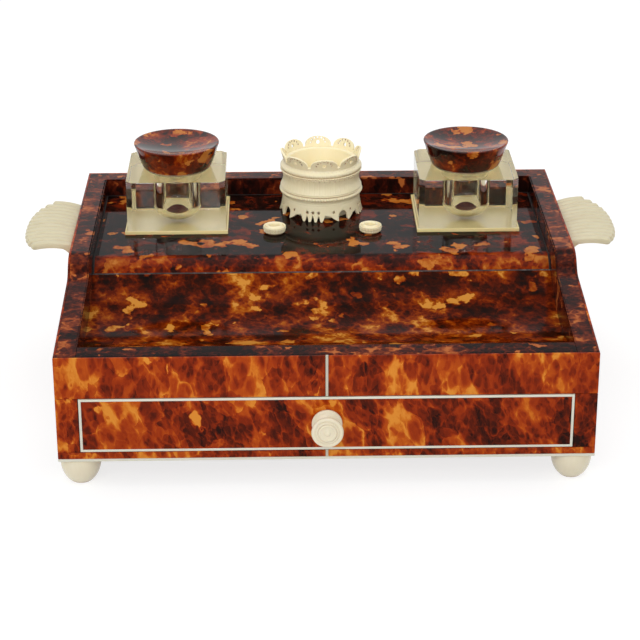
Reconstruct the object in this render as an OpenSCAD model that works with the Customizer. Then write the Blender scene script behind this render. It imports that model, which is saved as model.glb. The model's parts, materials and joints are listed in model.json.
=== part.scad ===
/* [Carcase] */
// Width over the side veneers
body_w = 260; // [240:1:290]
// Depth from the front veneer to the back veneer
body_d = 220; // [205:1:245]
// Height of the front rail above the drawer opening
rail_h = 21.3; // [20:0.1:24]
// Thickness of a side wall over both of its veneers
wall_t = 10.8; // [9.6:0.2:13]
// Thickness of the back wall over both of its veneers
back_t = 11.5; // [10:0.5:14]
// Depth of the lip in front of the pen tray
lip_d = 11; // [9:0.5:14]
// Thickness of the base board
base_t = 4.9; // [4.2:0.1:6]
// Thickness of every veneer sheet
veneer_t = 1.2; // [0.8:0.1:1.6]
// Rise of the side walls' front ramp, in degrees
ramp_angle = 5.4; // [4.6:0.1:6]
// Distance from the front at which the flat top of a side wall ends
shoulder_y = 96.6; // [93:0.2:100]
// Radius of the round shoulder below that flat top
shoulder_r = 15; // [13:0.5:16]
// Radius of the cove between shoulder and ramp
cove_r = 10; // [8:0.5:12]
// Side of the square ivory edging round the foot of the carcase
edging_t = 1.4; // [1:0.1:2]
// Width of the stringing on the drawer and on the rails
string_w = 1.3; // [0.8:0.1:2]
// Depth of the housing that holds the dust board in a side wall
housing_d = 2; // [1.5:0.5:3]

/* [Deck and pen tray] */
// Height of the side walls above the deck
deck_drop = 9.8; // [8.6:0.2:11]
// Step from the lip in front of the pen tray down to the tray's upper edge
lip_step = 0.34; // [0.2:0.02:0.8]
// Thickness of the deck, board and veneer together
deck_t = 6.1; // [5.5:0.1:7]
// Radius of the rounded front edge of the deck
nose_r = 13; // [11:0.5:15]
// Distance from the front at which the pen tray meets the deck
nose_y = 105; // [102:0.5:108]
// Depth of the hollow of the pen tray
tray_depth = 12.2; // [10.5:0.1:13]
// Thickness of wood left under the hollow of the pen tray
tray_floor = 2.4; // [2:0.1:3]
// Length of the tray block that runs back under the deck
tray_tail = 9; // [7:0.5:12]
// Thickness of the dust board over the drawer
dust_t = 3; // [2.4:0.2:3.6]
// Width and height of the cleats under the deck
bearer_w = 6; // [5:0.5:8]
// Sideways place of the deck's fittings from the middle of the carcase
fitting_x = 1.2; // [0:0.1:2]

/* [Drawer] */
// Height of the drawer opening
opening_h = 28.6; // [27:0.2:30]
// Gap round the drawer front
drawer_gap = 0.3; // [0.2:0.05:0.5]
// Thickness of the drawer front behind its veneer
drawer_front_t = 9.8; // [8:0.2:12]
// Thickness of the drawer sides
drawer_side_t = 6; // [5:0.5:7]
// Thickness of the drawer back
drawer_back_t = 5; // [4:0.5:6]
// Height of the drawer sides
drawer_side_h = 25; // [22:0.5:26]
// Thickness of the drawer bottom
drawer_bottom_t = 2.4; // [2:0.2:3]
// Height of the drawer bottom above the lower edge of the sides
drawer_bottom_z = 2.2; // [1.8:0.2:3]
// Depth of the groove that holds the drawer bottom
groove_d = 2; // [1.5:0.5:2.5]
// Length of the lapped dovetails at the drawer front
dovetail_l = 6; // [5:0.5:7]
// Depth of the stop blocks behind the drawer
stop_d = 6; // [4:0.5:8]
// Width of a stop block
stop_w = 18; // [14:1:24]
// Height of a stop block
stop_h = 12; // [9:0.5:16]
// Distance from a drawer side's outer face to its stop block
stop_in = 12; // [8:1:20]
// Reach of the knob in front of the drawer
knob_out = 12; // [11:0.5:14]
// Diameter of the knob's front disc
knob_d = 15.5; // [14:0.5:17]
// Diameter of the knob's shank
knob_shank_d = 5; // [4:0.5:6]

/* [Feet] */
// Height of a foot below the carcase
foot_h = 14; // [12:0.5:16]
// Widest diameter of a foot
foot_d = 20; // [19.8:0.1:22]
// Diameter of a foot where it meets the carcase
foot_top_d = 18.8; // [18:0.1:19.6]
// Diameter of the flat that a foot stands on
foot_flat_d = 10.4; // [9:0.2:13]
// Depth of a foot's widest line below the carcase
foot_belly = 3; // [2:0.2:5]
// Diameter of the tenon that holds a foot in the base board
foot_tenon_d = 8; // [6:0.5:9]
// Length of that tenon
foot_tenon_l = 4; // [3:0.1:4]

/* [Handles] */
// Reach of a handle from the side wall
handle_out = 27.5; // [24:0.5:30]
// Distance from the front to the middle of a handle
handle_y = 149; // [147:1:155]
// Number of ribs on a handle
handle_ribs = 13; // [9:2:15]
// Pitch of the ribs at the wall
rib_pitch = 5.4; // [5:0.1:5.8]
// Angle between neighbouring ribs, in degrees
rib_fan = 1.1; // [0.6:0.1:1.4]
// Thickness of the shell of a handle
handle_t = 3.2; // [2.8:0.1:3.8]
// Radius of the arch of the shell
handle_arch_r = 45; // [42:1:52]
// Depth of the grooves between the ribs
rib_groove = 0.75; // [0.5:0.05:1]
// Drop from the top of the side wall to the crown of the shell
handle_drop = 0.9; // [0.5:0.1:1.6]
// Height of a handle's root against the wall
handle_root_h = 11.5; // [10.5:0.5:13]
// Diameter of the pins that hold the handles
pin_d = 3; // [2.4:0.2:3.4]
// Distance between the two pins of a handle
pin_span = 40; // [36:1:50]

/* [Inkwells] */
// Distance between the middles of the two inkwells
well_span = 157; // [150:1:162]
// Distance from the trays of the inkwells back to the back wall
well_back_gap = 7.6; // [6:0.1:9]
// Side of the ivory tray under a bottle
well_tray_w = 55.2; // [54:0.2:57]
// Thickness of the floor of that tray
well_tray_t = 1.2; // [1:0.1:1.6]
// Width and height of the rim round that tray
well_rim = 0.8; // [0.6:0.1:1.2]
// Clearance between a bottle and the rim
bottle_gap = 0.25; // [0.2:0.05:0.4]
// Height of the glass block
bottle_h = 28; // [26:0.5:31]
// Width of the bevels on the upright edges of the glass
bottle_bevel = 3; // [2:0.5:4]
// Width of the bevels on the top edges of the glass
bottle_top_bevel = 2; // [1.5:0.5:2.5]
// Diameter of the ink hole in the glass
ink_d = 26; // [24:0.5:28]
// Glass left below the ink hole
ink_floor = 2.5; // [2:0.5:4]
// Diameter of the low neck round the ink hole
neck_d = 34; // [32:0.5:35]
// Height of that neck
neck_h = 0.9; // [0.6:0.1:1.5]
// Widest diameter of a lid, at its rim
lid_d = 46; // [43:0.5:48]
// Diameter of a lid at its foot
lid_foot_d = 37.4; // [36:0.2:39]
// Height of a lid
lid_h = 13.3; // [12:0.1:15]
// Depth of the dish in the top of a lid
lid_dish = 3.4; // [2.5:0.1:4.5]
// Length of the plug under a lid
plug_l = 5; // [4:0.5:7]
// Clearance of the plug in the ink hole, on the radius
plug_gap = 0.3; // [0.2:0.05:0.5]

/* [Pen collars] */
// Distance between the middles of the two pen collars
collar_span = 51.7; // [46:0.1:58]
// Distance from the middle of the collars back to the middle of the pot
collar_pot_gap = 37.1; // [34:0.1:40]
// Widest diameter of a collar
collar_d = 12; // [11:0.2:13]
// Height of a collar above the deck
collar_h = 4.6; // [4:0.1:5.4]
// Diameter of the hole for a pen
pen_d = 5.8; // [5.6:0.1:6.2]
// Diameter of the collar's spigot in the deck
spigot_d = 9; // [8.4:0.2:9.6]

/* [Pot] */
// Clearance between the skirt of the pot and the back wall
pot_back_gap = 0.4; // [0.3:0.1:2]
// Radius of the bore of the pot
pot_bore_r = 17.3; // [16:0.1:18]
// Radius of the plain band above the skirt
pot_band_r = 21.2; // [20.6:0.1:21.6]
// Radius of the beaded bulge
pot_bulge_r = 22.8; // [22.4:0.1:23.2]
// Height of the pierced skirt
skirt_h = 8.6; // [8:0.1:9.4]
// Radius of the skirt at its prongs
skirt_r = 23; // [22.4:0.1:23.6]
// Thickness of the skirt and of the petals
pierced_t = 1.3; // [1:0.1:1.5]
// Height of the drum between skirt and crest
drum_h = 20.2; // [19:0.2:22]
// Number of petals in the crest
petals = 8; // [6:1:9]
// Height of the petals
petal_h = 6.8; // [6:0.1:7.4]
// Radius of the crest at the tips of its petals
crest_r = 22.4; // [21.8:0.1:23]
// Diameter of the spigot that holds the pot in the deck
pot_spigot_d = 14; // [11:0.5:17]

/* [Hidden] */

// Round surfaces are cut fine enough to look round
$fn = 96;
// Overlap that lets a cutting shape pass right through what it cuts
cut = 1;

// Places across the carcase, from its middle
half_w = body_w / 2;
core_x = half_w - veneer_t;
inner_x = half_w - wall_t;
// Places along the carcase, from its front face
back_inner_y = body_d - back_t;
back_core_y = body_d - veneer_t;
well_y = back_inner_y - well_back_gap - well_tray_w / 2;
pot_y = back_inner_y - pot_back_gap - skirt_r;
collar_y = pot_y - collar_pot_gap;
// Heights above the underside of the carcase
opening_top = base_t + opening_h;
dust_top = opening_top + dust_t;
front_h = opening_top + rail_h;
deck_bottom = front_h + lip_d * tan(ramp_angle) - lip_step;
deck_z = deck_bottom + deck_t;
body_h = deck_z + deck_drop;
tray_low = deck_bottom - tray_depth;
tray_bottom = tray_low - veneer_t - tray_floor;
tray_back_y = nose_y + tray_tail;
// The part stands on its feet, with the middle of its depth, knob included, at the origin
front_y = (knob_out - body_d) / 2;

// Geometry of the side wall's top edge, in the plane of depth and height
ramp_dir = [cos(ramp_angle), sin(ramp_angle)];
ramp_normal = [-sin(ramp_angle), cos(ramp_angle)];
shoulder_c = [shoulder_y, body_h - shoulder_r];
ramp_offset = [0, front_h] + cove_r * ramp_normal - shoulder_c;
ramp_along = -(ramp_offset * ramp_dir)
    - sqrt(pow(ramp_offset * ramp_dir, 2) - ramp_offset * ramp_offset + pow(shoulder_r + cove_r, 2));
cove_c = shoulder_c + ramp_offset + ramp_along * ramp_dir;
cove_end = atan2(shoulder_c[1] - cove_c[1], shoulder_c[0] - cove_c[0]);
arc_steps = 12;

// Drawer, measured in the frame of the carcase
drawer_x = inner_x - drawer_gap;
drawer_z0 = base_t + drawer_gap;
drawer_z1 = opening_top - drawer_gap;
drawer_core_y = veneer_t + drawer_front_t;
drawer_back_y = back_inner_y - stop_d;
drawer_side_x = drawer_x - 0.2;
drawer_mid_z = (drawer_z0 + drawer_z1) / 2;
bottom_z0 = base_t + drawer_bottom_z;
knob_hole_l = drawer_front_t - 1;

// Handle, measured outward from the wall and upward from the underside
arch_u = 12;
arch_c = [arch_u, body_h - handle_drop - handle_arch_r];
root_cove_r = 9;
root_tail = 1.5;
handle_root_z = arch_c[1] + sqrt(pow(handle_arch_r, 2) - pow(arch_u, 2));
handle_foot_z = handle_root_z - handle_root_h;
outline_r = 95;
fan_r = rib_pitch / 2 / tan(rib_fan / 2);
rib_lap = 0.06;
pin_z = handle_root_z - 2.4;
pin_in_core = wall_t - 2 * veneer_t - 1.4;
pin_in_handle = 3.5;

// Inkwells
bottle_w = well_tray_w - 2 * well_rim - 2 * bottle_gap;
bottle_z = deck_z + well_tray_t;
bottle_top = bottle_z + bottle_h;
lid_z = bottle_top + neck_h;
ink_r = ink_d / 2;

// Pot, measured from the deck
pot_floor_t = 2;
pot_ring_r = 16.5;
pot_ring_t = 1.5;
drum_top = skirt_h + drum_h;
panel_turn = -13;
petal_turn = 3.5;
collar_spigot_l = deck_t;
foot_in = foot_d / 2;
screw_d = 3;
screw_head_d = 6;
screw_head_t = 1.6;
screw_l = 14;
screw_ys = [0.25, 0.5, 0.75];

function arc(c, r, a0, a1, n) = [for (i = [0:n]) let (a = a0 + (a1 - a0) * i / n) c + r * [cos(a), sin(a)]];

// Top edge of a side wall from front to back, sunk by t along its normal
function wall_edge(t) = concat(
    [[0, front_h - t / cos(ramp_angle)]],
    arc(cove_c, cove_r + t, ramp_angle - 90, cove_end, arc_steps),
    arc(shoulder_c, shoulder_r - t, cove_end + 180, 90, arc_steps),
    [[body_d, body_h - t]]);

// Places a child, drawn from the front face and the underside, in the part's own frame
module carcase() {
    translate([0, front_y, foot_h]) children();
}

// A plane outline of depth and height, spread across the carcase from x0 to x1
module across(x0, x1) {
    translate([x0, 0, 0]) rotate([90, 0, 90]) linear_extrude(x1 - x0) children();
}

module block(x0, x1, y0, y1, z0, z1) {
    translate([x0, y0, z0]) cube([x1 - x0, y1 - y0, z1 - z0]);
}

// Shows a child on the right (side 1) or mirrored to the left (side -1)
module on_side(side) {
    if (side > 0) children();
    else mirror([1, 0, 0]) children();
}

// Side wall outline under its capping, cut to a depth range and above a height
module wall_outline(t, y0, y1, z0) {
    intersection() {
        polygon(concat([[0, 0]], wall_edge(t), [[body_d, 0]]));
        translate([y0, z0]) square([y1 - y0, body_h]);
    }
}

module base_screw_places() {
    for (side = [-1, 1], share = screw_ys)
        translate([side * (core_x + inner_x) / 2, body_d * share, 0]) children();
}

module base_screw() {
    cylinder(d1 = screw_head_d, d2 = screw_d, h = screw_head_t);
    cylinder(d = screw_d, h = screw_l);
}

module foot_places() {
    for (side = [-1, 1], y = [foot_in, body_d - foot_in])
        translate([side * (half_w - foot_in), y, 0]) children();
}

module base_board() {
    color("sienna") carcase() difference() {
        block(-core_x, core_x, veneer_t, back_core_y, 0, base_t);
        difference() {
            block(-half_w, half_w, 0, body_d, -cut, edging_t);
            block(-half_w + edging_t, half_w - edging_t, edging_t, body_d - edging_t, -2 * cut, body_h);
        }
        foot_places() translate([0, 0, -cut]) cylinder(d = foot_tenon_d, h = foot_tenon_l + cut);
        base_screw_places() base_screw();
    }
}

module base_edging() {
    color("ivory") carcase() difference() {
        block(-half_w, half_w, 0, body_d, 0, edging_t);
        block(-half_w + edging_t, half_w - edging_t, edging_t, body_d - edging_t, -cut, edging_t + cut);
    }
}

module base_screws() {
    color("goldenrod") carcase() base_screw_places() base_screw();
}

// Turned bun foot, widest near its top, with a flat to stand on and a tenon above
module foot(side, y) {
    r = foot_d / 2;
    flat_a = acos(foot_flat_d / foot_d);
    top_a = acos(foot_top_d / foot_d);
    color("ivory") carcase() translate([side * (half_w - foot_in), y, 0]) {
        rotate_extrude() polygon(concat(
            [[0, -foot_h]],
            [for (i = [0:8]) let (a = -flat_a * (1 - i / 8))
                [r * cos(a), -foot_belly + (foot_h - foot_belly) * sin(a) / sin(flat_a)]],
            [for (i = [1:3]) let (a = top_a * i / 3)
                [r * cos(a), -foot_belly + foot_belly * sin(a) / sin(top_a)]],
            [[0, 0]]));
        cylinder(d = foot_tenon_d, h = foot_tenon_l);
    }
}

module side_core(side) {
    color("sienna") carcase() on_side(side) difference() {
        across(inner_x, core_x) wall_outline(veneer_t, veneer_t, back_core_y, base_t);
        block(inner_x - cut, inner_x + veneer_t, lip_d, back_inner_y, tray_bottom, body_h + cut);
        block(inner_x - cut, inner_x + housing_d, lip_d, back_core_y + cut, opening_top, dust_top);
        handle_pin_places() cylinder(d = pin_d, h = pin_in_core + 2 * veneer_t);
        base_screw_places() base_screw();
    }
}

module side_veneer(side) {
    color("saddlebrown") carcase() on_side(side) difference() {
        across(core_x, half_w) wall_outline(0, veneer_t, back_core_y, edging_t);
        handle_pin_places() cylinder(d = pin_d, h = pin_in_core + 2 * veneer_t);
    }
}

module side_lining(side) {
    color("saddlebrown") carcase() on_side(side)
        across(inner_x, inner_x + veneer_t) wall_outline(veneer_t, lip_d, back_inner_y, tray_bottom);
}

// Sheet of veneer on the top edge of a side wall, between two depths
module wall_capping(side, y0, y1) {
    color("saddlebrown") carcase() on_side(side) across(inner_x, core_x) difference() {
        wall_outline(0, y0, y1, base_t);
        polygon(concat([[0, 0]], wall_edge(veneer_t), [[body_d + cut, body_h - veneer_t], [body_d + cut, 0]]));
    }
}

module back_core() {
    color("sienna") carcase() difference() {
        block(-inner_x, inner_x, back_inner_y, back_core_y, base_t, body_h - veneer_t);
        block(-inner_x - cut, inner_x + cut, back_inner_y - cut, back_inner_y + veneer_t,
            deck_bottom, body_h);
        block(-inner_x - cut, inner_x + cut, back_inner_y - cut, back_inner_y + housing_d,
            opening_top, dust_top);
    }
}

module back_veneer() {
    color("saddlebrown") carcase() block(-half_w, half_w, back_core_y, body_d, edging_t, body_h);
}

module back_lining() {
    color("saddlebrown") carcase()
        block(-inner_x, inner_x, back_inner_y, back_inner_y + veneer_t, deck_bottom, body_h - veneer_t);
}

module back_capping() {
    color("saddlebrown") carcase()
        block(-inner_x, inner_x, back_inner_y, back_core_y, body_h - veneer_t, body_h);
}

module front_rail() {
    color("sienna") carcase() across(-inner_x, inner_x) wall_outline(veneer_t, veneer_t, lip_d, opening_top);
}

module lip_capping() {
    color("saddlebrown") carcase() across(-inner_x, inner_x) difference() {
        wall_outline(0, veneer_t, lip_d, opening_top);
        polygon(concat([[-cut, 0]], [[-cut, front_h - veneer_t / cos(ramp_angle) - cut * tan(ramp_angle)]],
            wall_edge(veneer_t), [[body_d, 0]]));
    }
}

module top_rail_veneer() {
    color("saddlebrown") carcase() for (side = [-1, 1]) on_side(side)
        block(string_w / 2, half_w, 0, veneer_t, opening_top, front_h);
}

module stile_veneer() {
    color("saddlebrown") carcase() for (side = [-1, 1]) on_side(side)
        block(inner_x, half_w, 0, veneer_t, base_t, opening_top);
}

module base_veneer() {
    color("saddlebrown") carcase() for (side = [-1, 1]) on_side(side)
        block(string_w / 2, half_w, 0, veneer_t, edging_t, base_t);
}

module rail_stringing() {
    color("ivory") carcase() {
        block(-string_w / 2, string_w / 2, 0, veneer_t, opening_top, front_h);
        block(-string_w / 2, string_w / 2, 0, veneer_t, edging_t, base_t);
    }
}

// Circle of the tray's hollow, in the plane of depth and height, grown by t
module tray_circle(t) {
    half_chord = (nose_y - lip_d) / 2;
    hollow_r = (pow(half_chord, 2) + pow(tray_depth, 2)) / (2 * tray_depth);
    translate([lip_d + half_chord, tray_low + hollow_r]) circle(r = hollow_r + t, $fn = 360);
}

module pen_tray() {
    color("sienna") carcase() across(-inner_x, inner_x) difference() {
        translate([lip_d, tray_bottom]) square([tray_back_y - lip_d, deck_bottom - tray_bottom]);
        intersection() {
            tray_circle(veneer_t);
            translate([lip_d - cut, tray_bottom]) square([nose_y - lip_d + cut, body_h]);
        }
    }
}

module tray_veneer() {
    color("saddlebrown") carcase() across(-inner_x, inner_x) intersection() {
        difference() {
            tray_circle(veneer_t);
            tray_circle(0);
        }
        translate([lip_d, tray_bottom]) square([nose_y - lip_d, deck_bottom - tray_bottom]);
    }
}

// Section of the deck with its rounded front edge, sunk by t
module deck_outline(t) {
    nose_c = [nose_y + sqrt(pow(nose_r, 2) - pow(nose_r - deck_t, 2)), deck_z - nose_r];
    nose_end = asin((nose_r - deck_t) / (nose_r - t));
    polygon(concat(
        arc(nose_c, nose_r - t, 180 - nose_end, 90, 2 * arc_steps),
        [[back_inner_y, deck_z - t], [back_inner_y, deck_bottom]]));
}

module deck_holes() {
    for (side = [-1, 1])
        translate([fitting_x + side * collar_span / 2, collar_y, deck_bottom - cut])
            cylinder(d = spigot_d, h = deck_t + 2 * cut);
    translate([fitting_x, pot_y, deck_bottom - cut]) cylinder(d = pot_spigot_d, h = deck_t + 2 * cut);
}

module deck_board() {
    color("sienna") carcase() difference() {
        across(-inner_x, inner_x) deck_outline(veneer_t);
        deck_holes();
    }
}

module deck_veneer() {
    color("saddlebrown") carcase() difference() {
        across(-inner_x, inner_x) difference() {
            deck_outline(0);
            deck_outline(veneer_t);
        }
        deck_holes();
    }
}

module deck_bearers() {
    color("sienna") carcase() for (side = [-1, 1]) on_side(side)
        block(inner_x - bearer_w, inner_x, tray_back_y, back_inner_y, deck_bottom - bearer_w, deck_bottom);
}

module dust_board() {
    color("sienna") carcase() {
        reach = inner_x + housing_d;
        block(-reach, reach, lip_d, back_inner_y + housing_d, opening_top, dust_top);
    }
}

module drawer_stops() {
    color("sienna") carcase() for (side = [-1, 1]) on_side(side)
        block(drawer_side_x - stop_in - stop_w, drawer_side_x - stop_in,
            drawer_back_y, back_inner_y, base_t, base_t + stop_h);
}

// Tails of the side boards, lapped into the drawer front, in depth and height
module dovetail_outline() {
    tails = 2;
    pitch = (drawer_side_h - 3) / tails;
    for (i = [0:tails - 1]) translate([drawer_core_y, base_t + drawer_gap + 2 + pitch * i])
        polygon([[0, 1], [0, pitch - 3], [-dovetail_l, pitch - 2], [-dovetail_l, 0]]);
}

module drawer_front() {
    color("sienna") carcase() difference() {
        block(-drawer_x, drawer_x, veneer_t, drawer_core_y, drawer_z0, drawer_z1);
        for (side = [-1, 1]) on_side(side)
            across(drawer_side_x - drawer_side_t, half_w) dovetail_outline();
        block(-drawer_side_x + drawer_side_t, drawer_side_x - drawer_side_t,
            drawer_core_y - groove_d, drawer_core_y + cut, bottom_z0, bottom_z0 + drawer_bottom_t);
        translate([0, veneer_t + knob_hole_l, drawer_mid_z]) rotate([90, 0, 0])
            cylinder(d = knob_shank_d, h = knob_hole_l + cut);
    }
}

module drawer_veneer() {
    color("saddlebrown") carcase() difference() {
        block(-drawer_x + string_w, drawer_x - string_w, 0, veneer_t,
            drawer_z0 + string_w, drawer_z1 - string_w);
        translate([0, veneer_t + cut, drawer_mid_z]) rotate([90, 0, 0])
            cylinder(d = knob_shank_d, h = veneer_t + 2 * cut);
    }
}

module drawer_stringing() {
    color("ivory") carcase() difference() {
        block(-drawer_x, drawer_x, 0, veneer_t, drawer_z0, drawer_z1);
        block(-drawer_x + string_w, drawer_x - string_w, -cut, veneer_t + cut,
            drawer_z0 + string_w, drawer_z1 - string_w);
    }
}

module drawer_side(side) {
    color("burlywood") carcase() on_side(side) difference() {
        across(drawer_side_x - drawer_side_t, drawer_side_x) {
            translate([drawer_core_y, base_t]) square([drawer_back_y - drawer_core_y, drawer_side_h]);
            dovetail_outline();
        }
        block(0, drawer_side_x - drawer_side_t + groove_d, 0, body_d,
            bottom_z0, bottom_z0 + drawer_bottom_t);
        block(0, drawer_side_x - drawer_side_t + groove_d, drawer_back_y - drawer_back_t, body_d,
            bottom_z0, body_h);
    }
}

module drawer_back() {
    color("burlywood") carcase() {
        reach = drawer_side_x - drawer_side_t + groove_d;
        block(-reach, reach, drawer_back_y - drawer_back_t, drawer_back_y,
            bottom_z0 + drawer_bottom_t, base_t + drawer_side_h);
    }
}

module drawer_bottom() {
    color("burlywood") carcase() {
        reach = drawer_side_x - drawer_side_t + groove_d;
        inner = drawer_side_x - drawer_side_t;
        block(-reach, reach, drawer_core_y, drawer_back_y, bottom_z0, bottom_z0 + drawer_bottom_t);
        block(-inner, inner, drawer_core_y - groove_d, drawer_core_y + cut,
            bottom_z0, bottom_z0 + drawer_bottom_t);
    }
}

// Turned knob: flange, waist, ringed disc and boss, then the shank inside
module drawer_knob() {
    r = knob_d / 2;
    color("ivory") carcase() translate([0, 0, drawer_mid_z]) rotate([90, 0, 0]) {
        rotate_extrude() polygon(concat(
            [[0, 0], [r * 0.95, 0]],
            arc([r * 0.88, 1.2], r * 0.12, 0, 90, 6),
            [[r * 0.6, 2.4]],
            arc([r * 0.6 + 0.4, knob_out * 0.45], r * 0.24, 240, 130, 6),
            [[r * 0.86, knob_out - 4.4]],
            arc([r * 0.88, knob_out - 2.8], r * 0.12, -60, 70, 6),
            [[r * 0.72, knob_out - 1.6], [r * 0.66, knob_out - 2], [r * 0.6, knob_out - 1.2],
             [r * 0.4, knob_out - 0.9], [r * 0.36, knob_out - 1.3], [r * 0.3, knob_out - 0.9],
             [r * 0.16, knob_out - 0.5], [r * 0.12, knob_out], [0, knob_out]]));
        translate([0, 0, -veneer_t - knob_hole_l]) cylinder(d = knob_shank_d, h = veneer_t + knob_hole_l);
    }
}

module handle_pin_places() {
    for (end = [-1, 1])
        translate([half_w - veneer_t - pin_in_core, handle_y + end * pin_span / 2, pin_z])
            rotate([0, 90, 0]) children();
}

// Section of a handle: arched shell, coved root and tail against the wall
module handle_section() {
    under_r = handle_arch_r - handle_t;
    tip_a = acos((handle_out - arch_u - 0.6) / handle_arch_r);
    cove_top = [root_tail + root_cove_r, handle_foot_z + 1];
    join_a = acos((cove_top[0] - arch_u) / under_r);
    polygon(concat(
        [[0, handle_foot_z - 1], [root_tail * 0.6, handle_foot_z - 0.6], [root_tail, handle_foot_z]],
        arc([cove_top[0], handle_foot_z + 1], root_cove_r, 175, 115, 8),
        arc(arch_c, under_r, join_a, acos((handle_out - arch_u - 0.6) / under_r), 8),
        [arch_c + (handle_arch_r - handle_t / 2) * [cos(tip_a - 1.4), sin(tip_a - 1.4)]],
        arc(arch_c, handle_arch_r, tip_a, acos(-arch_u / handle_arch_r), 16)));
}

// Turns a child to the line of one rib, or of a groove when i is a half number
module on_rib(i) {
    translate([-fan_r, 0, 0]) rotate([0, 0, rib_fan * i]) translate([fan_r, 0, 0]) children();
}

// Ribs seen from above, each as wide as its pitch, with round ends on an arc
module handle_plan() {
    last = (handle_ribs - 1) / 2;
    for (i = [-last:last]) {
        away = fan_r * sin(rib_fan * i) * (1 + handle_out / fan_r);
        reach = handle_out - outline_r + sqrt(pow(outline_r, 2) - pow(away, 2));
        root_r = rib_pitch / 2 + rib_lap;
        rib_r = rib_pitch * (1 + reach / fan_r) / 2 + rib_lap;
        on_rib(i) polygon(concat(
            [[-cut, root_r], [-cut, -root_r]],
            arc([reach - rib_r, 0], rib_r, -90, 90, 10)));
    }
}

module handle(side) {
    groove_r = 1.6;
    last = (handle_ribs - 1) / 2;
    color("ivory") carcase() on_side(side) translate([half_w, handle_y, 0]) difference() {
        intersection() {
            translate([0, body_d / 2, 0]) rotate([90, 0, 0]) linear_extrude(body_d) handle_section();
            linear_extrude(2 * body_h) handle_plan();
            block(0, 2 * handle_out, -body_d, body_d, 0, 2 * body_h);
        }
        for (i = [-last:last - 1]) on_rib(i + 0.5)
            translate([arch_c[0], 0, arch_c[1]]) rotate([90, 0, 0]) rotate_extrude()
                translate([handle_arch_r + groove_r - rib_groove, 0]) circle(r = groove_r, $fn = 24);
        translate([-half_w, -handle_y, 0]) handle_pin_places()
            cylinder(d = pin_d, h = pin_in_core + veneer_t + pin_in_handle);
    }
}

module handle_pins() {
    color("ivory") carcase() for (side = [-1, 1]) on_side(side)
        handle_pin_places() cylinder(d = pin_d, h = pin_in_core + veneer_t + pin_in_handle);
}

module at_well(side) {
    carcase() translate([fitting_x + side * well_span / 2, well_y, 0]) children();
}

module well_tray(side) {
    inner = well_tray_w / 2 - well_rim;
    outer = well_tray_w / 2;
    color("ivory") at_well(side) difference() {
        block(-outer, outer, -outer, outer, deck_z, deck_z + well_tray_t + well_rim);
        block(-inner, inner, -inner, inner, deck_z + well_tray_t, body_h);
    }
}

// Square outline with its four corners cut off
function bevelled(w, b) = [
    [w - b, -w], [w, b - w], [w, w - b], [w - b, w], [b - w, w], [-w, w - b], [-w, b - w], [b - w, -w]];

module ink_bottle(side) {
    half = bottle_w / 2;
    color("lightcyan", 0.5) at_well(side) translate([0, 0, bottle_z]) difference() {
        union() {
            intersection() {
                linear_extrude(bottle_h) polygon(bevelled(half, bottle_bevel));
                for (turn = [0, 90]) rotate([0, 0, turn]) bevelled_bar(half);
            }
            cylinder(d = neck_d, h = bottle_h + neck_h);
        }
        translate([0, 0, ink_floor + ink_r * 0.6]) cylinder(r = ink_r, h = bottle_h + cut);
        rotate_extrude() polygon(concat(
            [[0, ink_floor]],
            [for (a = [-90:10:0]) [ink_r * cos(a), ink_floor + ink_r * 0.6 * (1 + sin(a))]],
            [[ink_r, ink_floor + ink_r], [0, ink_floor + ink_r]]));
    }
}

// Bar along X whose two long top edges are bevelled
module bevelled_bar(half) {
    b = bottle_top_bevel;
    rotate([90, 0, 90]) translate([0, 0, -half - cut]) linear_extrude(2 * half + 2 * cut)
        polygon([[-half, 0], [half, 0], [half, bottle_h - b], [half - b, bottle_h],
            [b - half, bottle_h], [-half, bottle_h - b]]);
}

// Turned lid with a dished top
module bottle_lid(side) {
    r = lid_d / 2;
    rim = 0.9;
    dish_r = (pow(r - rim, 2) + pow(lid_dish, 2)) / (2 * lid_dish);
    dish_a = asin((r - rim) / dish_r);
    color("saddlebrown") at_well(side) translate([0, 0, lid_z]) rotate_extrude() polygon(concat(
        [[0, 0], [lid_foot_d / 2 - 0.8, 0], [lid_foot_d / 2, 0.8]],
        [for (t = [0.25:0.25:1]) [
            lid_foot_d / 2 + (r - lid_foot_d / 2) * t,
            0.8 + (lid_h - 1.6) * t + 0.5 * sin(180 * t)]],
        [[r - rim / 3, lid_h], [r - rim, lid_h]],
        arc([0, lid_h - lid_dish + dish_r], dish_r, -90 + dish_a, -90, 12)));
}

// Plug turned on the underside of a lid, which drops into the ink hole
module lid_plug(side) {
    r = ink_r - plug_gap;
    color("ivory") at_well(side) translate([0, 0, lid_z]) rotate_extrude()
        polygon([[0, -plug_l], [r - 1, -plug_l], [r, -plug_l + 1], [r, 0], [0, 0]]);
}

// Turned collar round a pen hole, with two beads and a raised inner ring
module pen_collar(side) {
    r = collar_d / 2;
    bore = pen_d / 2;
    color("ivory") carcase() translate([fitting_x + side * collar_span / 2, collar_y, deck_z])
        rotate_extrude() polygon(concat(
            [[bore, -collar_spigot_l], [spigot_d / 2, -collar_spigot_l], [spigot_d / 2, 0], [r * 0.82, 0]],
            [[r * 0.9, collar_h * 0.16]],
            arc([r * 0.88, collar_h * 0.36], r * 0.08, -60, 60, 4),
            arc([r * 0.92, collar_h * 0.66], r * 0.08, -60, 60, 4),
            [[r * 0.9, collar_h * 0.84], [r * 0.8, collar_h * 0.76]],
            arc([bore + r * 0.14, collar_h * 0.86], r * 0.14, 30, 150, 6),
            [[bore, collar_h * 0.7]]));
}

module at_pot() {
    carcase() translate([fitting_x, pot_y, deck_z]) children();
}

// Sends a child outline, drawn in width and height, outward from a radius at one angle
module piercing(angle, height, start) {
    rotate([0, 0, angle]) translate([0, 0, height]) rotate([90, 0, 0])
        translate([0, 0, start]) linear_extrude(skirt_r - start + cut) children();
}

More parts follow.
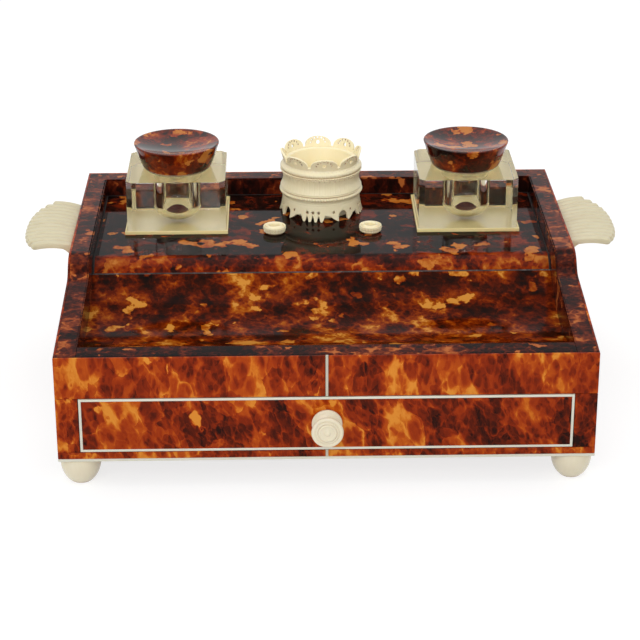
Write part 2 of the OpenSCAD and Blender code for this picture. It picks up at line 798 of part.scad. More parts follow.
// Cuts of one quarter of the skirt: a panel of four prongs, a horn on each side of it and an arch
module skirt_piercings() {
    hole_z = skirt_h * 0.58;
    prong = 8.4;
    start = (pot_ring_r + skirt_r - pierced_t) / 2;
    for (i = [-1:1]) piercing(prong * i, 0, start)
        polygon([[-1.2, -cut], [1.2, -cut], [0.35, skirt_h * 0.38], [-0.35, skirt_h * 0.38]]);
    for (i = [-1:1]) piercing(prong * i, hole_z, start) circle(d = 1.7, $fn = 12);
    for (side = [-1, 1]) {
        piercing(side * 30.5, hole_z, start) circle(d = 1.5, $fn = 12);
        piercing(side * 27, 0, start)
            polygon([[-side * 4.6, -cut], [side * 3.4, -cut], [side * 3.2, 0], [-side * 3, skirt_h * 0.36],
                [-side * 3.6, skirt_h * 0.42], [-side * 4.1, skirt_h * 0.3]]);
    }
    piercing(45, 0, start) polygon(concat(
        [[-3.1, -cut], [3.1, -cut], [3.1, skirt_h * 0.1]],
        arc([0, skirt_h * 0.3], 2.7, 0, 180, 10),
        [[-3.1, skirt_h * 0.1]]));
}

// Pierced skirt with the pot's floor, an inner ring that stands on the deck, and a spigot
module pot_foot() {
    floor_z = skirt_h - pot_floor_t;
    spigot_r = pot_spigot_d / 2;
    skirt_floor_r = skirt_r - pierced_t - (skirt_r - pot_band_r) * floor_z / skirt_h;
    color("ivory") at_pot() difference() {
        rotate_extrude() polygon([[0, -deck_t], [spigot_r, -deck_t], [spigot_r, 0], [spigot_r + 1, 0],
            [spigot_r + 1, floor_z], [pot_ring_r - pot_ring_t, floor_z], [pot_ring_r - pot_ring_t, 0],
            [pot_ring_r, 0], [pot_ring_r, floor_z], [skirt_floor_r, floor_z], [skirt_r - pierced_t, 0],
            [skirt_r, 0], [pot_band_r, skirt_h], [0, skirt_h]]);
        for (quarter = [0:3]) rotate([0, 0, panel_turn + 90 * quarter]) skirt_piercings();
    }
}

// Turned drum: plain band, beaded bulge, waisted band, shoulder bead and neck
module pot_drum() {
    h = drum_h;
    color("ivory") at_pot() translate([0, 0, skirt_h]) rotate_extrude() polygon(concat(
        [[pot_bore_r, 0], [pot_band_r, 0], [pot_band_r, h * 0.12]],
        arc([pot_bulge_r - h * 0.06, h * 0.19], h * 0.06, -70, 70, 6),
        [[pot_bulge_r - 0.7, h * 0.26], [pot_bulge_r - 0.5, h * 0.31]],
        [for (t = [0.1:0.1:1]) [pot_bulge_r - 0.6 - 1.2 * sin(150 * t), h * (0.32 + 0.42 * t)]],
        arc([pot_bulge_r - 0.4 - h * 0.06, h * 0.84], h * 0.06, -60, 70, 6),
        [[pot_band_r - 0.2, h * 0.93], [pot_band_r - 0.6, h], [pot_bore_r, h]]));
}

// Crest of outward leaning petals, each with a round eye and seven small holes round it
module pot_crest() {
    pitch = 360 / petals;
    petal_r = petal_h;
    half_pitch = (pot_band_r + crest_r) / 2 * sin(pitch / 2);
    eye_z = petal_h * 0.42;
    start = pot_bore_r - cut;
    flank = arc([half_pitch, 0], petal_r, 174, 98, 9);
    color("ivory") at_pot() translate([0, 0, drum_top]) difference() {
        rotate_extrude() polygon([[pot_bore_r, 0], [pot_band_r - 0.6, 0], [pot_band_r - 0.5, 0.7],
            [crest_r, petal_h - 0.1], [crest_r - pierced_t * 0.8, petal_h - 0.1], [pot_bore_r + 0.4, 0.7]]);
        for (i = [0:petals - 1]) {
            piercing(petal_turn + pitch * (i + 0.5), 0, start) polygon(concat(
                flank, [[half_pitch, petal_h + cut], [-half_pitch, petal_h + cut]],
                [for (k = [len(flank) - 1:-1:0]) [-flank[k][0], flank[k][1]]]));
            piercing(petal_turn + pitch * i, eye_z, start) circle(d = 2.2, $fn = 12);
            for (a = [0:30:180]) piercing(petal_turn + pitch * i, eye_z - 0.6, start)
                translate([4.1 * cos(a), 3.4 * sin(a)]) circle(d = 0.9, $fn = 6);
        }
    }
}

base_board();
base_edging();
base_screws();
foot(-1, foot_in);  // foot_front_left
foot(1, foot_in);  // foot_front_right
foot(-1, body_d - foot_in);  // foot_back_left
foot(1, body_d - foot_in);  // foot_back_right
side_core(-1);  // side_core_left
side_core(1);  // side_core_right
side_veneer(-1);  // side_veneer_left
side_veneer(1);  // side_veneer_right
side_lining(-1);  // side_lining_left
side_lining(1);  // side_lining_right
wall_capping(-1, veneer_t, shoulder_y);  // ramp_capping_left
wall_capping(1, veneer_t, shoulder_y);  // ramp_capping_right
wall_capping(-1, shoulder_y, back_core_y);  // top_capping_left
wall_capping(1, shoulder_y, back_core_y);  // top_capping_right
back_core();
back_veneer();
back_lining();
back_capping();
front_rail();
lip_capping();
top_rail_veneer();
stile_veneer();
base_veneer();
rail_stringing();
pen_tray();
tray_veneer();
deck_board();
deck_veneer();
deck_bearers();
dust_board();
drawer_stops();
drawer_front();
drawer_veneer();
drawer_stringing();
drawer_side(-1);  // drawer_side_left
drawer_side(1);  // drawer_side_right
drawer_back();
drawer_bottom();
drawer_knob();
handle(-1);  // handle_left
handle(1);  // handle_right
handle_pins();
well_tray(-1);  // well_tray_left
well_tray(1);  // well_tray_right
ink_bottle(-1);  // ink_bottle_left
ink_bottle(1);  // ink_bottle_right
bottle_lid(-1);  // bottle_lid_left
bottle_lid(1);  // bottle_lid_right
lid_plug(-1);  // lid_plug_left
lid_plug(1);  // lid_plug_right
pen_collar(-1);  // pen_collar_left
pen_collar(1);  // pen_collar_right
pot_foot();
pot_drum();
pot_crest();
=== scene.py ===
"""Looks of the desk inkstand: tortoiseshell, turned and carved ivory, glass wells, stage and camera."""

import json
import math

import bmesh
import bpy
from mathutils import Matrix, Vector

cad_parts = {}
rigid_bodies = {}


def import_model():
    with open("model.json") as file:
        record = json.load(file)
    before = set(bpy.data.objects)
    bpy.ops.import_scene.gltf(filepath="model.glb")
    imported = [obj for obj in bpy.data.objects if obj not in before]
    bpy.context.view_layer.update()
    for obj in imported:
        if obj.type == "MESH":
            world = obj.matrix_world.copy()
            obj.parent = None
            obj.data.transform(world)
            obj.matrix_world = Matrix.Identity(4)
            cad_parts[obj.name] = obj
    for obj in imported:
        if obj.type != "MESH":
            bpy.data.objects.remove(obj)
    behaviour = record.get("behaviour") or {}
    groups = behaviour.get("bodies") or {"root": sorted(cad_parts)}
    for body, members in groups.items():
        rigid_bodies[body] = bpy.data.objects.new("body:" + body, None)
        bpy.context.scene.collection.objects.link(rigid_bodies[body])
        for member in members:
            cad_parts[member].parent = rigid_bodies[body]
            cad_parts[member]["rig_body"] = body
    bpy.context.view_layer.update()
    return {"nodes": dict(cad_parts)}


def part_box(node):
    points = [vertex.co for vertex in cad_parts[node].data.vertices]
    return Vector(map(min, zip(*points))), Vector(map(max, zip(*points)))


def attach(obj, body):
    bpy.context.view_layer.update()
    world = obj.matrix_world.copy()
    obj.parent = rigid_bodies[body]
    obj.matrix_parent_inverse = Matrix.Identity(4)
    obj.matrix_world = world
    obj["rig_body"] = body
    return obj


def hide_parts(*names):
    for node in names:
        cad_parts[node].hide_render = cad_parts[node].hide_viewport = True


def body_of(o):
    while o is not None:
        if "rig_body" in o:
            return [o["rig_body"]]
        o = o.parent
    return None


MM = 0.001
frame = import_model()
scene = bpy.context.scene

# Sizes of the carcase in millimetres, measured from its front face and its underside
HALF_W = 130
BODY_D = 220
BODY_H = 71.4
FRONT_H = 54.8
WALL_T = 10.8
BACK_T = 11.5
LIP_D = 11
VENEER = 1.2
EDGING = 1.4
RAMP_ANGLE = 5.4
SHOULDER_Y = 96.6
SHOULDER_R = 15
COVE_R = 10
DECK_DROP = 9.8
DECK_T = 6.1
NOSE_R = 13
NOSE_Y = 105
TRAY_DEPTH = 12.2
CORE_X = HALF_W - VENEER
INNER_X = HALF_W - WALL_T
DECK_Z = BODY_H - DECK_DROP
DECK_BOTTOM = DECK_Z - DECK_T
BACK_INNER_Y = BODY_D - BACK_T
NOSE_TOP_Y = NOSE_Y + math.sqrt(NOSE_R ** 2 - (NOSE_R - DECK_T) ** 2)
LINING_FOOT = 39.7
EDGE_ROUND = 0.35
# Width and height of the dark strips that paint the shade in the deck's corners.
SHADE_STRIP_W = 0.7
SHADE_STRIP_H = 0.12

edging_low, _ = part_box("base_edging")
FRONT_Y = edging_low.y / MM
UNDERSIDE_Z = edging_low.z / MM
drum_low, drum_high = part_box("pot_drum")
POT_X = (drum_low.x + drum_high.x) / 2 / MM
POT_Y = (drum_low.y + drum_high.y) / 2 / MM
DECK_TOP = DECK_Z + UNDERSIDE_Z


# Mesh helpers

def new_piece(name, verts, faces, body, replaced=()):
    """Makes a mesh from points in millimetres and settles it on a body."""
    mesh = bpy.data.meshes.new(name)
    mesh.from_pydata([tuple(c * MM for c in v) for v in verts], [], faces)
    piece = bpy.data.objects.new(name, mesh)
    scene.collection.objects.link(piece)
    return settle(piece, body, replaced)


def settle(piece, body, replaced=()):
    """Lets a piece ride on a body in place of some nodes."""
    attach(piece, body)
    if replaced:
        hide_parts(*replaced)
    return piece


def tidy_mesh(piece, merge=1e-6, flat=None):
    """Welds double points, joins flat neighbours within an angle in degrees and turns all faces outward."""
    work = bmesh.new()
    work.from_mesh(piece.data)
    bmesh.ops.remove_doubles(work, verts=work.verts, dist=merge)
    if flat is not None:
        bmesh.ops.dissolve_limit(work, angle_limit=math.radians(flat), verts=work.verts, edges=work.edges)
    bmesh.ops.recalc_face_normals(work, faces=work.faces)
    work.to_mesh(piece.data)
    work.free()
    return piece


def shade(piece, angle=35):
    """Smooths the shading, apart from edges sharper than an angle in degrees."""
    piece.data.shade_smooth()
    piece.data.set_sharp_from_angle(angle=math.radians(angle))
    return piece


def apply_modifiers(piece):
    """Puts what a piece's modifiers make in the place of its mesh."""
    depsgraph = bpy.context.evaluated_depsgraph_get()
    done = bpy.data.meshes.new_from_object(piece.evaluated_get(depsgraph))
    old = piece.data
    piece.modifiers.clear()
    piece.data = done
    bpy.data.meshes.remove(old)
    return piece


def round_edges(piece, width, segments=2, angle=40):
    """Rounds the sharp edges of a piece by a width in millimetres."""
    bevel = piece.modifiers.new("edges", "BEVEL")
    bevel.width = width * MM
    bevel.segments = segments
    bevel.limit_method = "ANGLE"
    bevel.angle_limit = math.radians(angle)
    apply_modifiers(piece)
    shade(piece, 50)
    piece.modifiers.new("flat_faces", "WEIGHTED_NORMAL").keep_sharp = True
    return apply_modifiers(piece)


def dress(node, material, bevel=EDGE_ROUND):
    """Copies a flat-sided node, rounds its edges and shows the copy in the node's place."""
    source = frame["nodes"][node]
    piece = bpy.data.objects.new(node + "_dressed", source.data.copy())
    scene.collection.objects.link(piece)
    settle(piece, body_of(source)[0], [node])
    tidy_mesh(piece, flat=0.5)
    round_edges(piece, bevel)
    return paint(piece, material)


def paint(piece, material):
    piece.data.materials.clear()
    piece.data.materials.append(material)
    return piece


def arc(centre, radius, start, end, steps):
    """Points of an arc between two angles in degrees."""
    angles = [math.radians(start + (end - start) * i / steps) for i in range(steps + 1)]
    return [(centre[0] + radius * math.cos(a), centre[1] + radius * math.sin(a)) for a in angles]


def prism(name, outline, x0, x1, body, material, replaced=(), bevel=EDGE_ROUND):
    """Spreads an outline of depth and height across the carcase from x0 to x1."""
    count = len(outline)
    verts = [(x, y + FRONT_Y, z + UNDERSIDE_Z) for x in (x0, x1) for y, z in outline]
    faces = [[i, (i + 1) % count, count + (i + 1) % count, count + i] for i in range(count)]
    faces += [list(range(count))[::-1], list(range(count, 2 * count))]
    piece = new_piece(name, verts, faces, body, replaced)
    tidy_mesh(piece)
    if bevel:
        round_edges(piece, bevel, angle=50)
    else:
        shade(piece, 50)
    return paint(piece, material)


def lathe(name, profile, centre, body, material, replaced=(), segments=96, relief=None, sharp=40):
    """Turns a profile of radius and height round a vertical axis.

    relief gives what is added to the radius, for an angle and the number of a point of the profile.
    """
    verts = []
    rings = []
    for row, (radius, height) in enumerate(profile):
        if radius < 1e-6:
            rings.append([len(verts)] * segments)
            verts.append((centre[0], centre[1], centre[2] + height))
            continue
        rings.append([len(verts) + k for k in range(segments)])
        for k in range(segments):
            angle = 2 * math.pi * k / segments
            r = radius + (relief(angle, row) if relief else 0)
            verts.append((centre[0] + r * math.cos(angle), centre[1] + r * math.sin(angle),
                          centre[2] + height))
    faces = []
    for low, high in zip(rings, rings[1:]):
        for k in range(segments):
            n = (k + 1) % segments
            face = list(dict.fromkeys([low[k], low[n], high[n], high[k]]))
            if len(face) > 2:
                faces.append(face)
    piece = new_piece(name, verts, faces, body, replaced)
    tidy_mesh(piece)
    shade(piece, sharp)
    return paint(piece, material)


# Material helpers

def linear(red, green, blue):
    """Turns a colour as seen on screen, 0 to 255, into the shader's linear values."""
    out = []
    for value in (red, green, blue):
        c = value / 255
        out.append(c / 12.92 if c <= 0.04045 else ((c + 0.055) / 1.055) ** 2.4)
    return (*out, 1)


class Recipe:
    """Node tree of one material, with a short call for each kind of node that the recipes use."""

    def __init__(self, name):
        self.material = bpy.data.materials.new(name)
        self.material.use_nodes = True
        self.tree = self.material.node_tree
        self.tree.nodes.clear()
        self.output = self.tree.nodes.new("ShaderNodeOutputMaterial")
        self.coords = self.tree.nodes.new("ShaderNodeTexCoord").outputs["Object"]

    def feed(self, socket, value):
        """Links another node's output to a socket, or sets a plain value on it."""
        if isinstance(value, bpy.types.NodeSocket):
            self.tree.links.new(value, socket)
        else:
            socket.default_value = value

    def node(self, kind, settings=None, **inputs):
        """Adds a node; an input is named by its socket, or by i and its number."""
        made = self.tree.nodes.new("ShaderNode" + kind)
        for key, value in (settings or {}).items():
            setattr(made, key, value)
        for key, value in inputs.items():
            numbered = key[0] == "i" and key[1:].isdigit()
            self.feed(made.inputs[int(key[1:]) if numbered else key], value)
        return made

    def math(self, operation, a, b=0.0, c=0.0, clamp=False):
        return self.node("Math", {"operation": operation, "use_clamp": clamp}, i0=a, i1=b, i2=c).outputs[0]

    def add(self, a, b):
        return self.math("ADD", a, b)

    def times(self, a, b):
        return self.math("MULTIPLY", a, b)

    def step(self, value, low, high):
        """Smooth step from 0 at low to 1 at high."""
        made = self.node("MapRange", {"interpolation_type": "SMOOTHSTEP"}, Value=value)
        self.feed(made.inputs["From Min"], low)
        self.feed(made.inputs["From Max"], high)
        return made.outputs[0]

    def mapped(self, place=(0, 0, 0), turn=(0, 0, 0), scale=(1, 1, 1)):
        """Object coordinates, moved in millimetres, turned in degrees and then stretched."""
        turned = self.node("Mapping", {"vector_type": "POINT"}, Vector=self.coords,
                           Location=[p * MM for p in place], Rotation=[math.radians(t) for t in turn])
        return self.node("Mapping", Vector=turned.outputs[0], Scale=scale).outputs[0]

    def noise(self, vector, size, detail=2.0, roughness=0.5):
        """Noise whose features measure about size in millimetres."""
        return self.node("TexNoise", Vector=vector, Scale=1 / (size * MM), Detail=detail,
                         Roughness=roughness).outputs["Fac"]

    def cells(self, vector, size):
        """Cells that measure about size in millimetres."""
        return self.node("TexVoronoi", {"feature": "F1"}, Vector=vector, Scale=1 / (size * MM))

    def warp(self, vector, size, reach):
        """Moves coordinates about by noise, by up to reach in millimetres."""
        noise = self.node("TexNoise", Vector=vector, Scale=1 / (size * MM), Detail=2.0)
        centred = self.node("VectorMath", {"operation": "SUBTRACT"}, i0=noise.outputs["Color"],
                            i1=(0.5, 0.5, 0.5))
        grown = self.node("VectorMath", {"operation": "SCALE"}, i0=centred.outputs[0], Scale=2 * reach * MM)
        return self.node("VectorMath", {"operation": "ADD"}, i0=vector, i1=grown.outputs[0]).outputs[0]

    def ramp(self, value, stops):
        """Colours by a value, from stops of a place and a colour as seen on screen."""
        made = self.node("ValToRGB", Fac=value)
        elements = made.color_ramp.elements
        while len(elements) < len(stops):
            elements.new(0.5)
        for element, (place, colour) in zip(elements, stops):
            element.position = place
            element.color = linear(*colour)
        return made.outputs["Color"]

    def mix(self, factor, a, b):
        return self.node("Mix", {"data_type": "RGBA"}, i0=factor, i6=a, i7=b).outputs[2]

    def bump(self, height, distance, strength):
        """Normal of a relief whose full height is distance in millimetres."""
        return self.node("Bump", Height=height, Distance=distance * MM, Strength=strength).outputs[0]

    def principled(self, **inputs):
        """Ends the material with one shader and gives the material."""
        shader = self.node("BsdfPrincipled")
        for key, value in inputs.items():
            self.feed(shader.inputs[key.replace("_", " ")], value)
        self.tree.links.new(shader.outputs[0], self.output.inputs[0])
        return self.material


FRONT_COLOURS = [
    (0.0, (226, 144, 52)), (0.13, (212, 116, 33)), (0.24, (188, 80, 19)), (0.42, (164, 57, 13)),
    (0.6, (136, 41, 9)), (0.78, (96, 28, 7)), (1.0, (40, 13, 6))]
TRAY_COLOURS = [
    (0.0, (206, 138, 54)), (0.1, (172, 92, 16)), (0.24, (142, 54, 2)), (0.42, (98, 26, 0)),
    (0.6, (56, 14, 0)), (0.8, (30, 8, 2)), (1.0, (12, 6, 4))]
DARK_COLOURS = [
    (0.0, (184, 104, 50)), (0.12, (160, 76, 32)), (0.24, (116, 46, 20)), (0.4, (84, 28, 14)),
    (0.58, (50, 17, 11)), (0.78, (26, 12, 9)), (1.0, (12, 8, 8))]
DECK_COLOURS = [
    (0.0, (194, 118, 46)), (0.1, (172, 86, 22)), (0.24, (142, 46, 8)), (0.4, (104, 30, 8)),
    (0.56, (66, 22, 12)), (0.74, (34, 15, 10)), (1.0, (14, 9, 8))]

# Layers of spots: size in millimetres, share of the ground that they cover, pull of the crowding, weight
SPOTS = ((9.5, 0.66, 1.3, 0.24), (6.4, 0.64, 1.5, 0.22), (4.2, 0.52, 1.8, 0.18), (2.7, 0.38, 1.8, 0.12))


def tortoiseshell(name, seed, colours=FRONT_COLOURS, density=0.0, contrast=1.0, tilt=0, upright=True,
                  stretch=0.62, spot=1.0, streak=0.16, cloud=0.3, rough=0.1, shine=0.07, windows=0.0,
                  fade=None, dark=0.0):
    """Polished tortoiseshell: crowded translucent spots that darken where they overlap.

    seed moves the pattern, spot scales the spots and density makes them wider. They are long upright or in
    depth, tilt leans them in degrees, and a stretch below 1 draws them out. contrast is the weight of their
    darkness and dark adds an even tone. streak and cloud are the weights of fine fibres and broad patches.
    windows is the level of a noise above which clear patches open. fade gives (axis, low, high, amount) for
    extra darkness along an axis. rough is the roughness and shine the level of the reflection.
    """
    r = Recipe(name)
    place = (137 * seed, 59 * seed, 91 * seed)
    turn = (0, tilt, 0) if upright else (0, 0, tilt)
    base = r.mapped(place, turn, (1, 1, stretch) if upright else (1, stretch, 1))
    ragged = r.warp(r.warp(base, 9 * spot, 2.2 * spot), 1.7, 0.5)
    total = None
    for size, share, pull, weight in SPOTS:
        cell = r.cells(ragged, size * spot)
        crowd = r.noise(cell.outputs["Position"], 24 * spot, 2.0)
        tone = r.node("SeparateColor", Color=cell.outputs["Color"])
        radius = r.math("MULTIPLY_ADD", r.add(crowd, -0.5), pull, share + density)
        radius = r.math("MULTIPLY_ADD", r.add(tone.outputs[0], -0.5), 0.3, radius)
        soft = 0.06 + 0.011 * size
        mask = r.step(cell.outputs["Distance"], r.add(radius, soft), r.add(radius, -soft))
        layer = r.times(mask, r.math("MULTIPLY_ADD", tone.outputs[1], 0.7 * weight, weight * 0.65))
        total = layer if total is None else r.add(total, layer)
    total = r.math("MULTIPLY_ADD", total, contrast, dark)
    if fade:
        axis, low, high, amount = fade
        along = r.node("SeparateXYZ", Vector=r.coords).outputs[axis]
        total = r.math("MULTIPLY_ADD", r.step(along, low * MM, high * MM), amount, total)
    if windows:
        pane = r.noise(r.warp(ragged, 2.4, 1.6), 13 * spot, 1.5)
        total = r.times(total, r.step(pane, windows + 0.02, windows - 0.02))
    broad = r.add(r.noise(base, 20 * spot, 3.0, 0.6), -0.5)
    grain = (1, 1, 0.14) if upright else (1, 0.14, 1)
    fibre = r.add(r.noise(r.warp(r.mapped(place, turn, grain), 9, 1.0), 1.8, 3.0, 0.6), -0.5)
    mottle = r.add(r.noise(ragged, 1.5, 3.0, 0.65), -0.5)
    total = r.math("MULTIPLY_ADD", broad, cloud, total)
    total = r.math("MULTIPLY_ADD", fibre, streak, total)
    total = r.math("MULTIPLY_ADD", mottle, 0.3, total)
    colour = r.ramp(r.math("ADD", total, 0.0, clamp=True), colours)
    height = r.add(r.noise(r.coords, 11, 1.0), r.times(r.noise(r.coords, 0.6, 1.0), 0.02))
    wear = r.times(r.noise(r.coords, 5, 4.0, 0.7), 0.08)
    return r.principled(
        Base_Color=colour, Roughness=r.add(wear, rough - 0.02), IOR=1.5, Specular_IOR_Level=shine,
        Normal=r.bump(height, 0.1, 0.3))


def ivory(name, light, dark, grain_turn=(0, 0, 0), grain=0.35, stain=0.0, crevice_shade=0.5, rough=0.3,
          hollow=(0.35, 0.95)):
    """Polished ivory: faint parallel grain, warm stain in the crevices and soft gloss.

    hollow gives how far shut in a spot is where the painted shade in the hollows starts, and where it is
    full.
    """
    r = Recipe(name)
    lines = r.noise(r.warp(r.mapped((11, 5, 3), grain_turn, (1, 1, 0.06)), 9, 1.5), 0.9, 2.0, 0.6)
    patches = r.noise(r.coords, 12, 3.0)
    tone = r.add(r.times(r.add(lines, -0.5), grain), r.times(r.add(patches, -0.5), 0.5))
    colour = r.mix(r.math("ADD", tone, 0.25, clamp=True), linear(*light), linear(*dark))
    # Painted shade: ambient occlusion darkens the hollows toward a warm brown, which also stands for stain
    # there.
    near = r.node("AmbientOcclusion", {"samples": 8}, Distance=1.6 * MM)
    shut = r.math("SUBTRACT", 1.0, near.outputs["AO"])
    shade_and_stain = r.times(r.step(shut, *hollow), crevice_shade)
    if stain:
        shade_and_stain = r.math("ADD", shade_and_stain, r.times(r.step(patches, 0.5, 0.75), stain), clamp=True)
    # Mixes the painted shade of the hollows, with the stain patches, into the colour.
    colour = r.mix(shade_and_stain, colour, linear(166, 110, 54))
    height = r.times(lines, 0.6)
    return r.principled(
        Base_Color=colour, Roughness=rough, IOR=1.54, Specular_IOR_Level=0.5, Subsurface_Weight=0.12,
        Subsurface_Radius=(1.2 * MM, 0.9 * MM, 0.5 * MM), Subsurface_Scale=1.0,
        Normal=r.bump(height, 0.05, 0.4))


def wood(name, light, dark, along="X"):
    """Planed wood with long grain along one axis."""
    r = Recipe(name)
    scale = {"X": (0.06, 1, 1), "Y": (1, 0.06, 1)}[along]
    turn = (3, 4, 2)
    line = r.noise(r.warp(r.mapped((7, 3, 9), turn, scale), 12, 1.6), 2.4, 4.0, 0.65)
    pore = r.noise(r.mapped((1, 2, 3), turn, [s * 0.6 if s < 1 else 1 for s in scale]), 0.45, 2.0)
    tone = r.math("MULTIPLY_ADD", r.add(pore, -0.5), 0.35, line, clamp=True)
    colour = r.mix(r.step(tone, 0.3, 0.72), linear(*light), linear(*dark))
    return r.principled(Base_Color=colour, Roughness=r.math("MULTIPLY_ADD", pore, 0.2, 0.35),
                        Normal=r.bump(tone, 0.15, 0.4))


def clear_glass(name):
    r = Recipe(name)
    ripple = r.noise(r.coords, 14, 1.0)
    return r.principled(Base_Color=(0.985, 0.985, 0.95, 1), Roughness=0.0, IOR=1.5, Transmission_Weight=1.0,
                        Normal=r.bump(ripple, 0.02, 0.25))


def dried_ink(name):
    r = Recipe(name)
    crust = r.noise(r.coords, 2.2, 4.0, 0.7)
    colour = r.ramp(crust, [(0.3, (46, 14, 12)), (0.6, (98, 32, 22)), (0.8, (140, 66, 44))])
    return r.principled(Base_Color=colour, Roughness=0.65, Normal=r.bump(crust, 0.4, 0.8))


def glue(name, dark=(18, 14, 14), middle=(60, 54, 52), pale=(128, 120, 112)):
    """Crust of old glue in three tones along its grain; in near-black tones it makes the strips of painted
    shade in the deck's corners.
    """
    r = Recipe(name)
    dust = r.noise(r.mapped((0, 0, 0), (0, 0, 0), (0.4, 1, 1)), 1.6, 4.0, 0.75)
    colour = r.ramp(dust, [(0.3, dark), (0.55, middle), (0.75, pale)])
    return r.principled(Base_Color=colour, Roughness=0.8, Normal=r.bump(dust, 0.3, 0.6))


def brass(name):
    r = Recipe(name)
    tarnish = r.noise(r.coords, 2.0, 3.0)
    colour = r.mix(r.step(tarnish, 0.35, 0.7), linear(186, 148, 84), linear(120, 88, 46))
    return r.principled(Base_Color=colour, Metallic=1.0, Roughness=r.math("MULTIPLY_ADD", tarnish, 0.3, 0.25))


RAIL_SHELL = tortoiseshell(
    "shell_rail", 1, tilt=3, stretch=0.55, contrast=1.05, dark=0.01, cloud=0.6, windows=0.71)
DRAWER_SHELL = tortoiseshell(
    "shell_drawer", 2, tilt=22, stretch=0.6, contrast=1.1, dark=0.01, cloud=0.6, windows=0.68,
    fade=(0, 30, 120, 0.16))
STILE_SHELL = tortoiseshell("shell_stile", 5, spot=0.8, streak=0.1, density=-0.03, fade=(0, -60, 60, 0.3))
BASE_SHELL = tortoiseshell("shell_base", 7, tilt=10, spot=0.7)
SIDE_SHELL = tortoiseshell("shell_side", 4, tilt=15, density=0.2)
DECK_SHELL = tortoiseshell(
    "shell_deck", 9, DECK_COLOURS, density=-0.06, upright=False, stretch=1.0, spot=0.9, contrast=0.72,
    dark=0.06, windows=0.64, rough=0.04, shine=0.04, cloud=1.2,
    fade=(1, FRONT_Y + NOSE_Y + 5, FRONT_Y + NOSE_Y + 15, 0.42))
CAPPING_SHELL = tortoiseshell(
    "shell_capping", 12, DARK_COLOURS, density=0.04, upright=False, stretch=1.3, spot=0.8, contrast=0.75,
    dark=0.1, windows=0.65, rough=0.07, shine=0.05, cloud=1.1)
LINING_SHELL = tortoiseshell("shell_lining", 13, DARK_COLOURS, density=0.1, windows=0.68, shine=0.05)
TRAY_SHELL = tortoiseshell(
    "shell_tray", 17, TRAY_COLOURS, density=0.06, upright=False, tilt=-30, stretch=0.9, spot=0.9,
    contrast=0.6, dark=0.12, streak=0.2, windows=0.66, rough=0.1, shine=0.02, cloud=1.9)
LIP_SHELL = tortoiseshell(
    "shell_lip", 12, DARK_COLOURS, density=0.14, upright=False, stretch=1.3, spot=0.8, windows=0.7,
    rough=0.07, shine=0.05, cloud=0.5)
LID_SHELL = tortoiseshell(
    "shell_lid", 21, DECK_COLOURS, density=0.08, stretch=1.2, spot=0.8, contrast=0.65, dark=0.08, streak=0.25,
    windows=0.61, rough=0.06, shine=0.22, cloud=1.6)
# The crevice weights below set how strong the painted shade in each ivory's hollows is.
IVORY_TURNED = ivory(
    "ivory_turned", (246, 237, 210), (228, 214, 180), crevice_shade=0.5, rough=0.2, hollow=(0.15, 0.6))
IVORY_CARVED = ivory(
    "ivory_carved", (255, 244, 208), (246, 228, 178), crevice_shade=0.8, rough=0.35, hollow=(0.25, 0.75))
IVORY_HANDLE = ivory(
    "ivory_handle", (224, 215, 182), (200, 187, 146), (0, 90, 0), 0.4, 0.08, 0.6, 0.35, (0.1, 0.45))
IVORY_PLATE = ivory("ivory_plate", (255, 236, 172), (250, 222, 150), (90, 0, 0), 0.3, 0, 0.2, 0.25)
STRING_IVORY = ivory("ivory_string", (236, 234, 218), (208, 206, 184), (0, 90, 0), 0.3, 0, 0.2, 0.3)
OLD_STRING = ivory("old_string", (206, 202, 184), (176, 172, 150), (0, 90, 0), 0.3, 0, 0.2, 0.3)
CARCASE_WOOD = wood("carcase_mahogany", (128, 74, 44), (78, 40, 24))
SIDE_WOOD = wood("side_mahogany", (128, 74, 44), (78, 40, 24), "Y")
DRAWER_WOOD = wood("drawer_cedar", (188, 138, 92), (142, 94, 58), "Y")
BOTTOM_WOOD = wood("bottom_cedar", (190, 142, 96), (146, 98, 60))
GLASS = clear_glass("well_glass")
INK = dried_ink("dried_ink")
GLUE = glue("old_glue")
# Near-black crust for the strips of painted shade in the deck's corners.
CORNER_SHADE_PAINT = glue("painted_corner_shade", (8, 6, 6), (20, 16, 15), (58, 50, 46))
BRASS = brass("aged_brass")


# Carcase

def wall_edge(sink=0.0, steps=24):
    """Top edge of a side wall from front to back, sunk along its normal."""
    slope = math.radians(RAMP_ANGLE)
    along = Vector((math.cos(slope), math.sin(slope)))
    normal = Vector((-math.sin(slope), math.cos(slope)))
    shoulder = Vector((SHOULDER_Y, BODY_H - SHOULDER_R))
    offset = Vector((0, FRONT_H)) + COVE_R * normal - shoulder
    reach = -offset.dot(along) - math.sqrt(
        offset.dot(along) ** 2 - offset.dot(offset) + (SHOULDER_R + COVE_R) ** 2)
    cove = shoulder + offset + reach * along
    turn = math.degrees(math.atan2(shoulder.y - cove.y, shoulder.x - cove.x))
    return ([(0, FRONT_H - sink / math.cos(slope))]
            + arc(cove, COVE_R + sink, RAMP_ANGLE - 90, turn, steps)
            + arc(shoulder, SHOULDER_R - sink, turn + 180, 90, steps)
            + [(BODY_D, BODY_H - sink)])


def edge_between(y0, y1, sink=0.0):
    """The stretch of the wall's top edge between two depths, with both ends on it."""
    points = wall_edge(sink)

    def height(y):
        for (ya, za), (yb, zb) in zip(points, points[1:]):
            if ya <= y <= yb and yb > ya:
                return za + (zb - za) * (y - ya) / (yb - ya)
        return points[-1][1]

    inner = [(y, z) for y, z in points if y0 + 0.01 < y < y1 - 0.01]
    return [(y0, height(y0))] + inner + [(y1, height(y1))]


def wall_sheet(name, side, x0, x1, y0, y1, low, material, replaced):
    """Sheet on a face of a side wall, from the wall's top edge down to a height."""
    outline = edge_between(y0, y1) + [(y1, low), (y0, low)]
    xs = sorted((side * x0, side * x1))
    return prism(name, outline, xs[0], xs[1], "carcase", material, replaced)


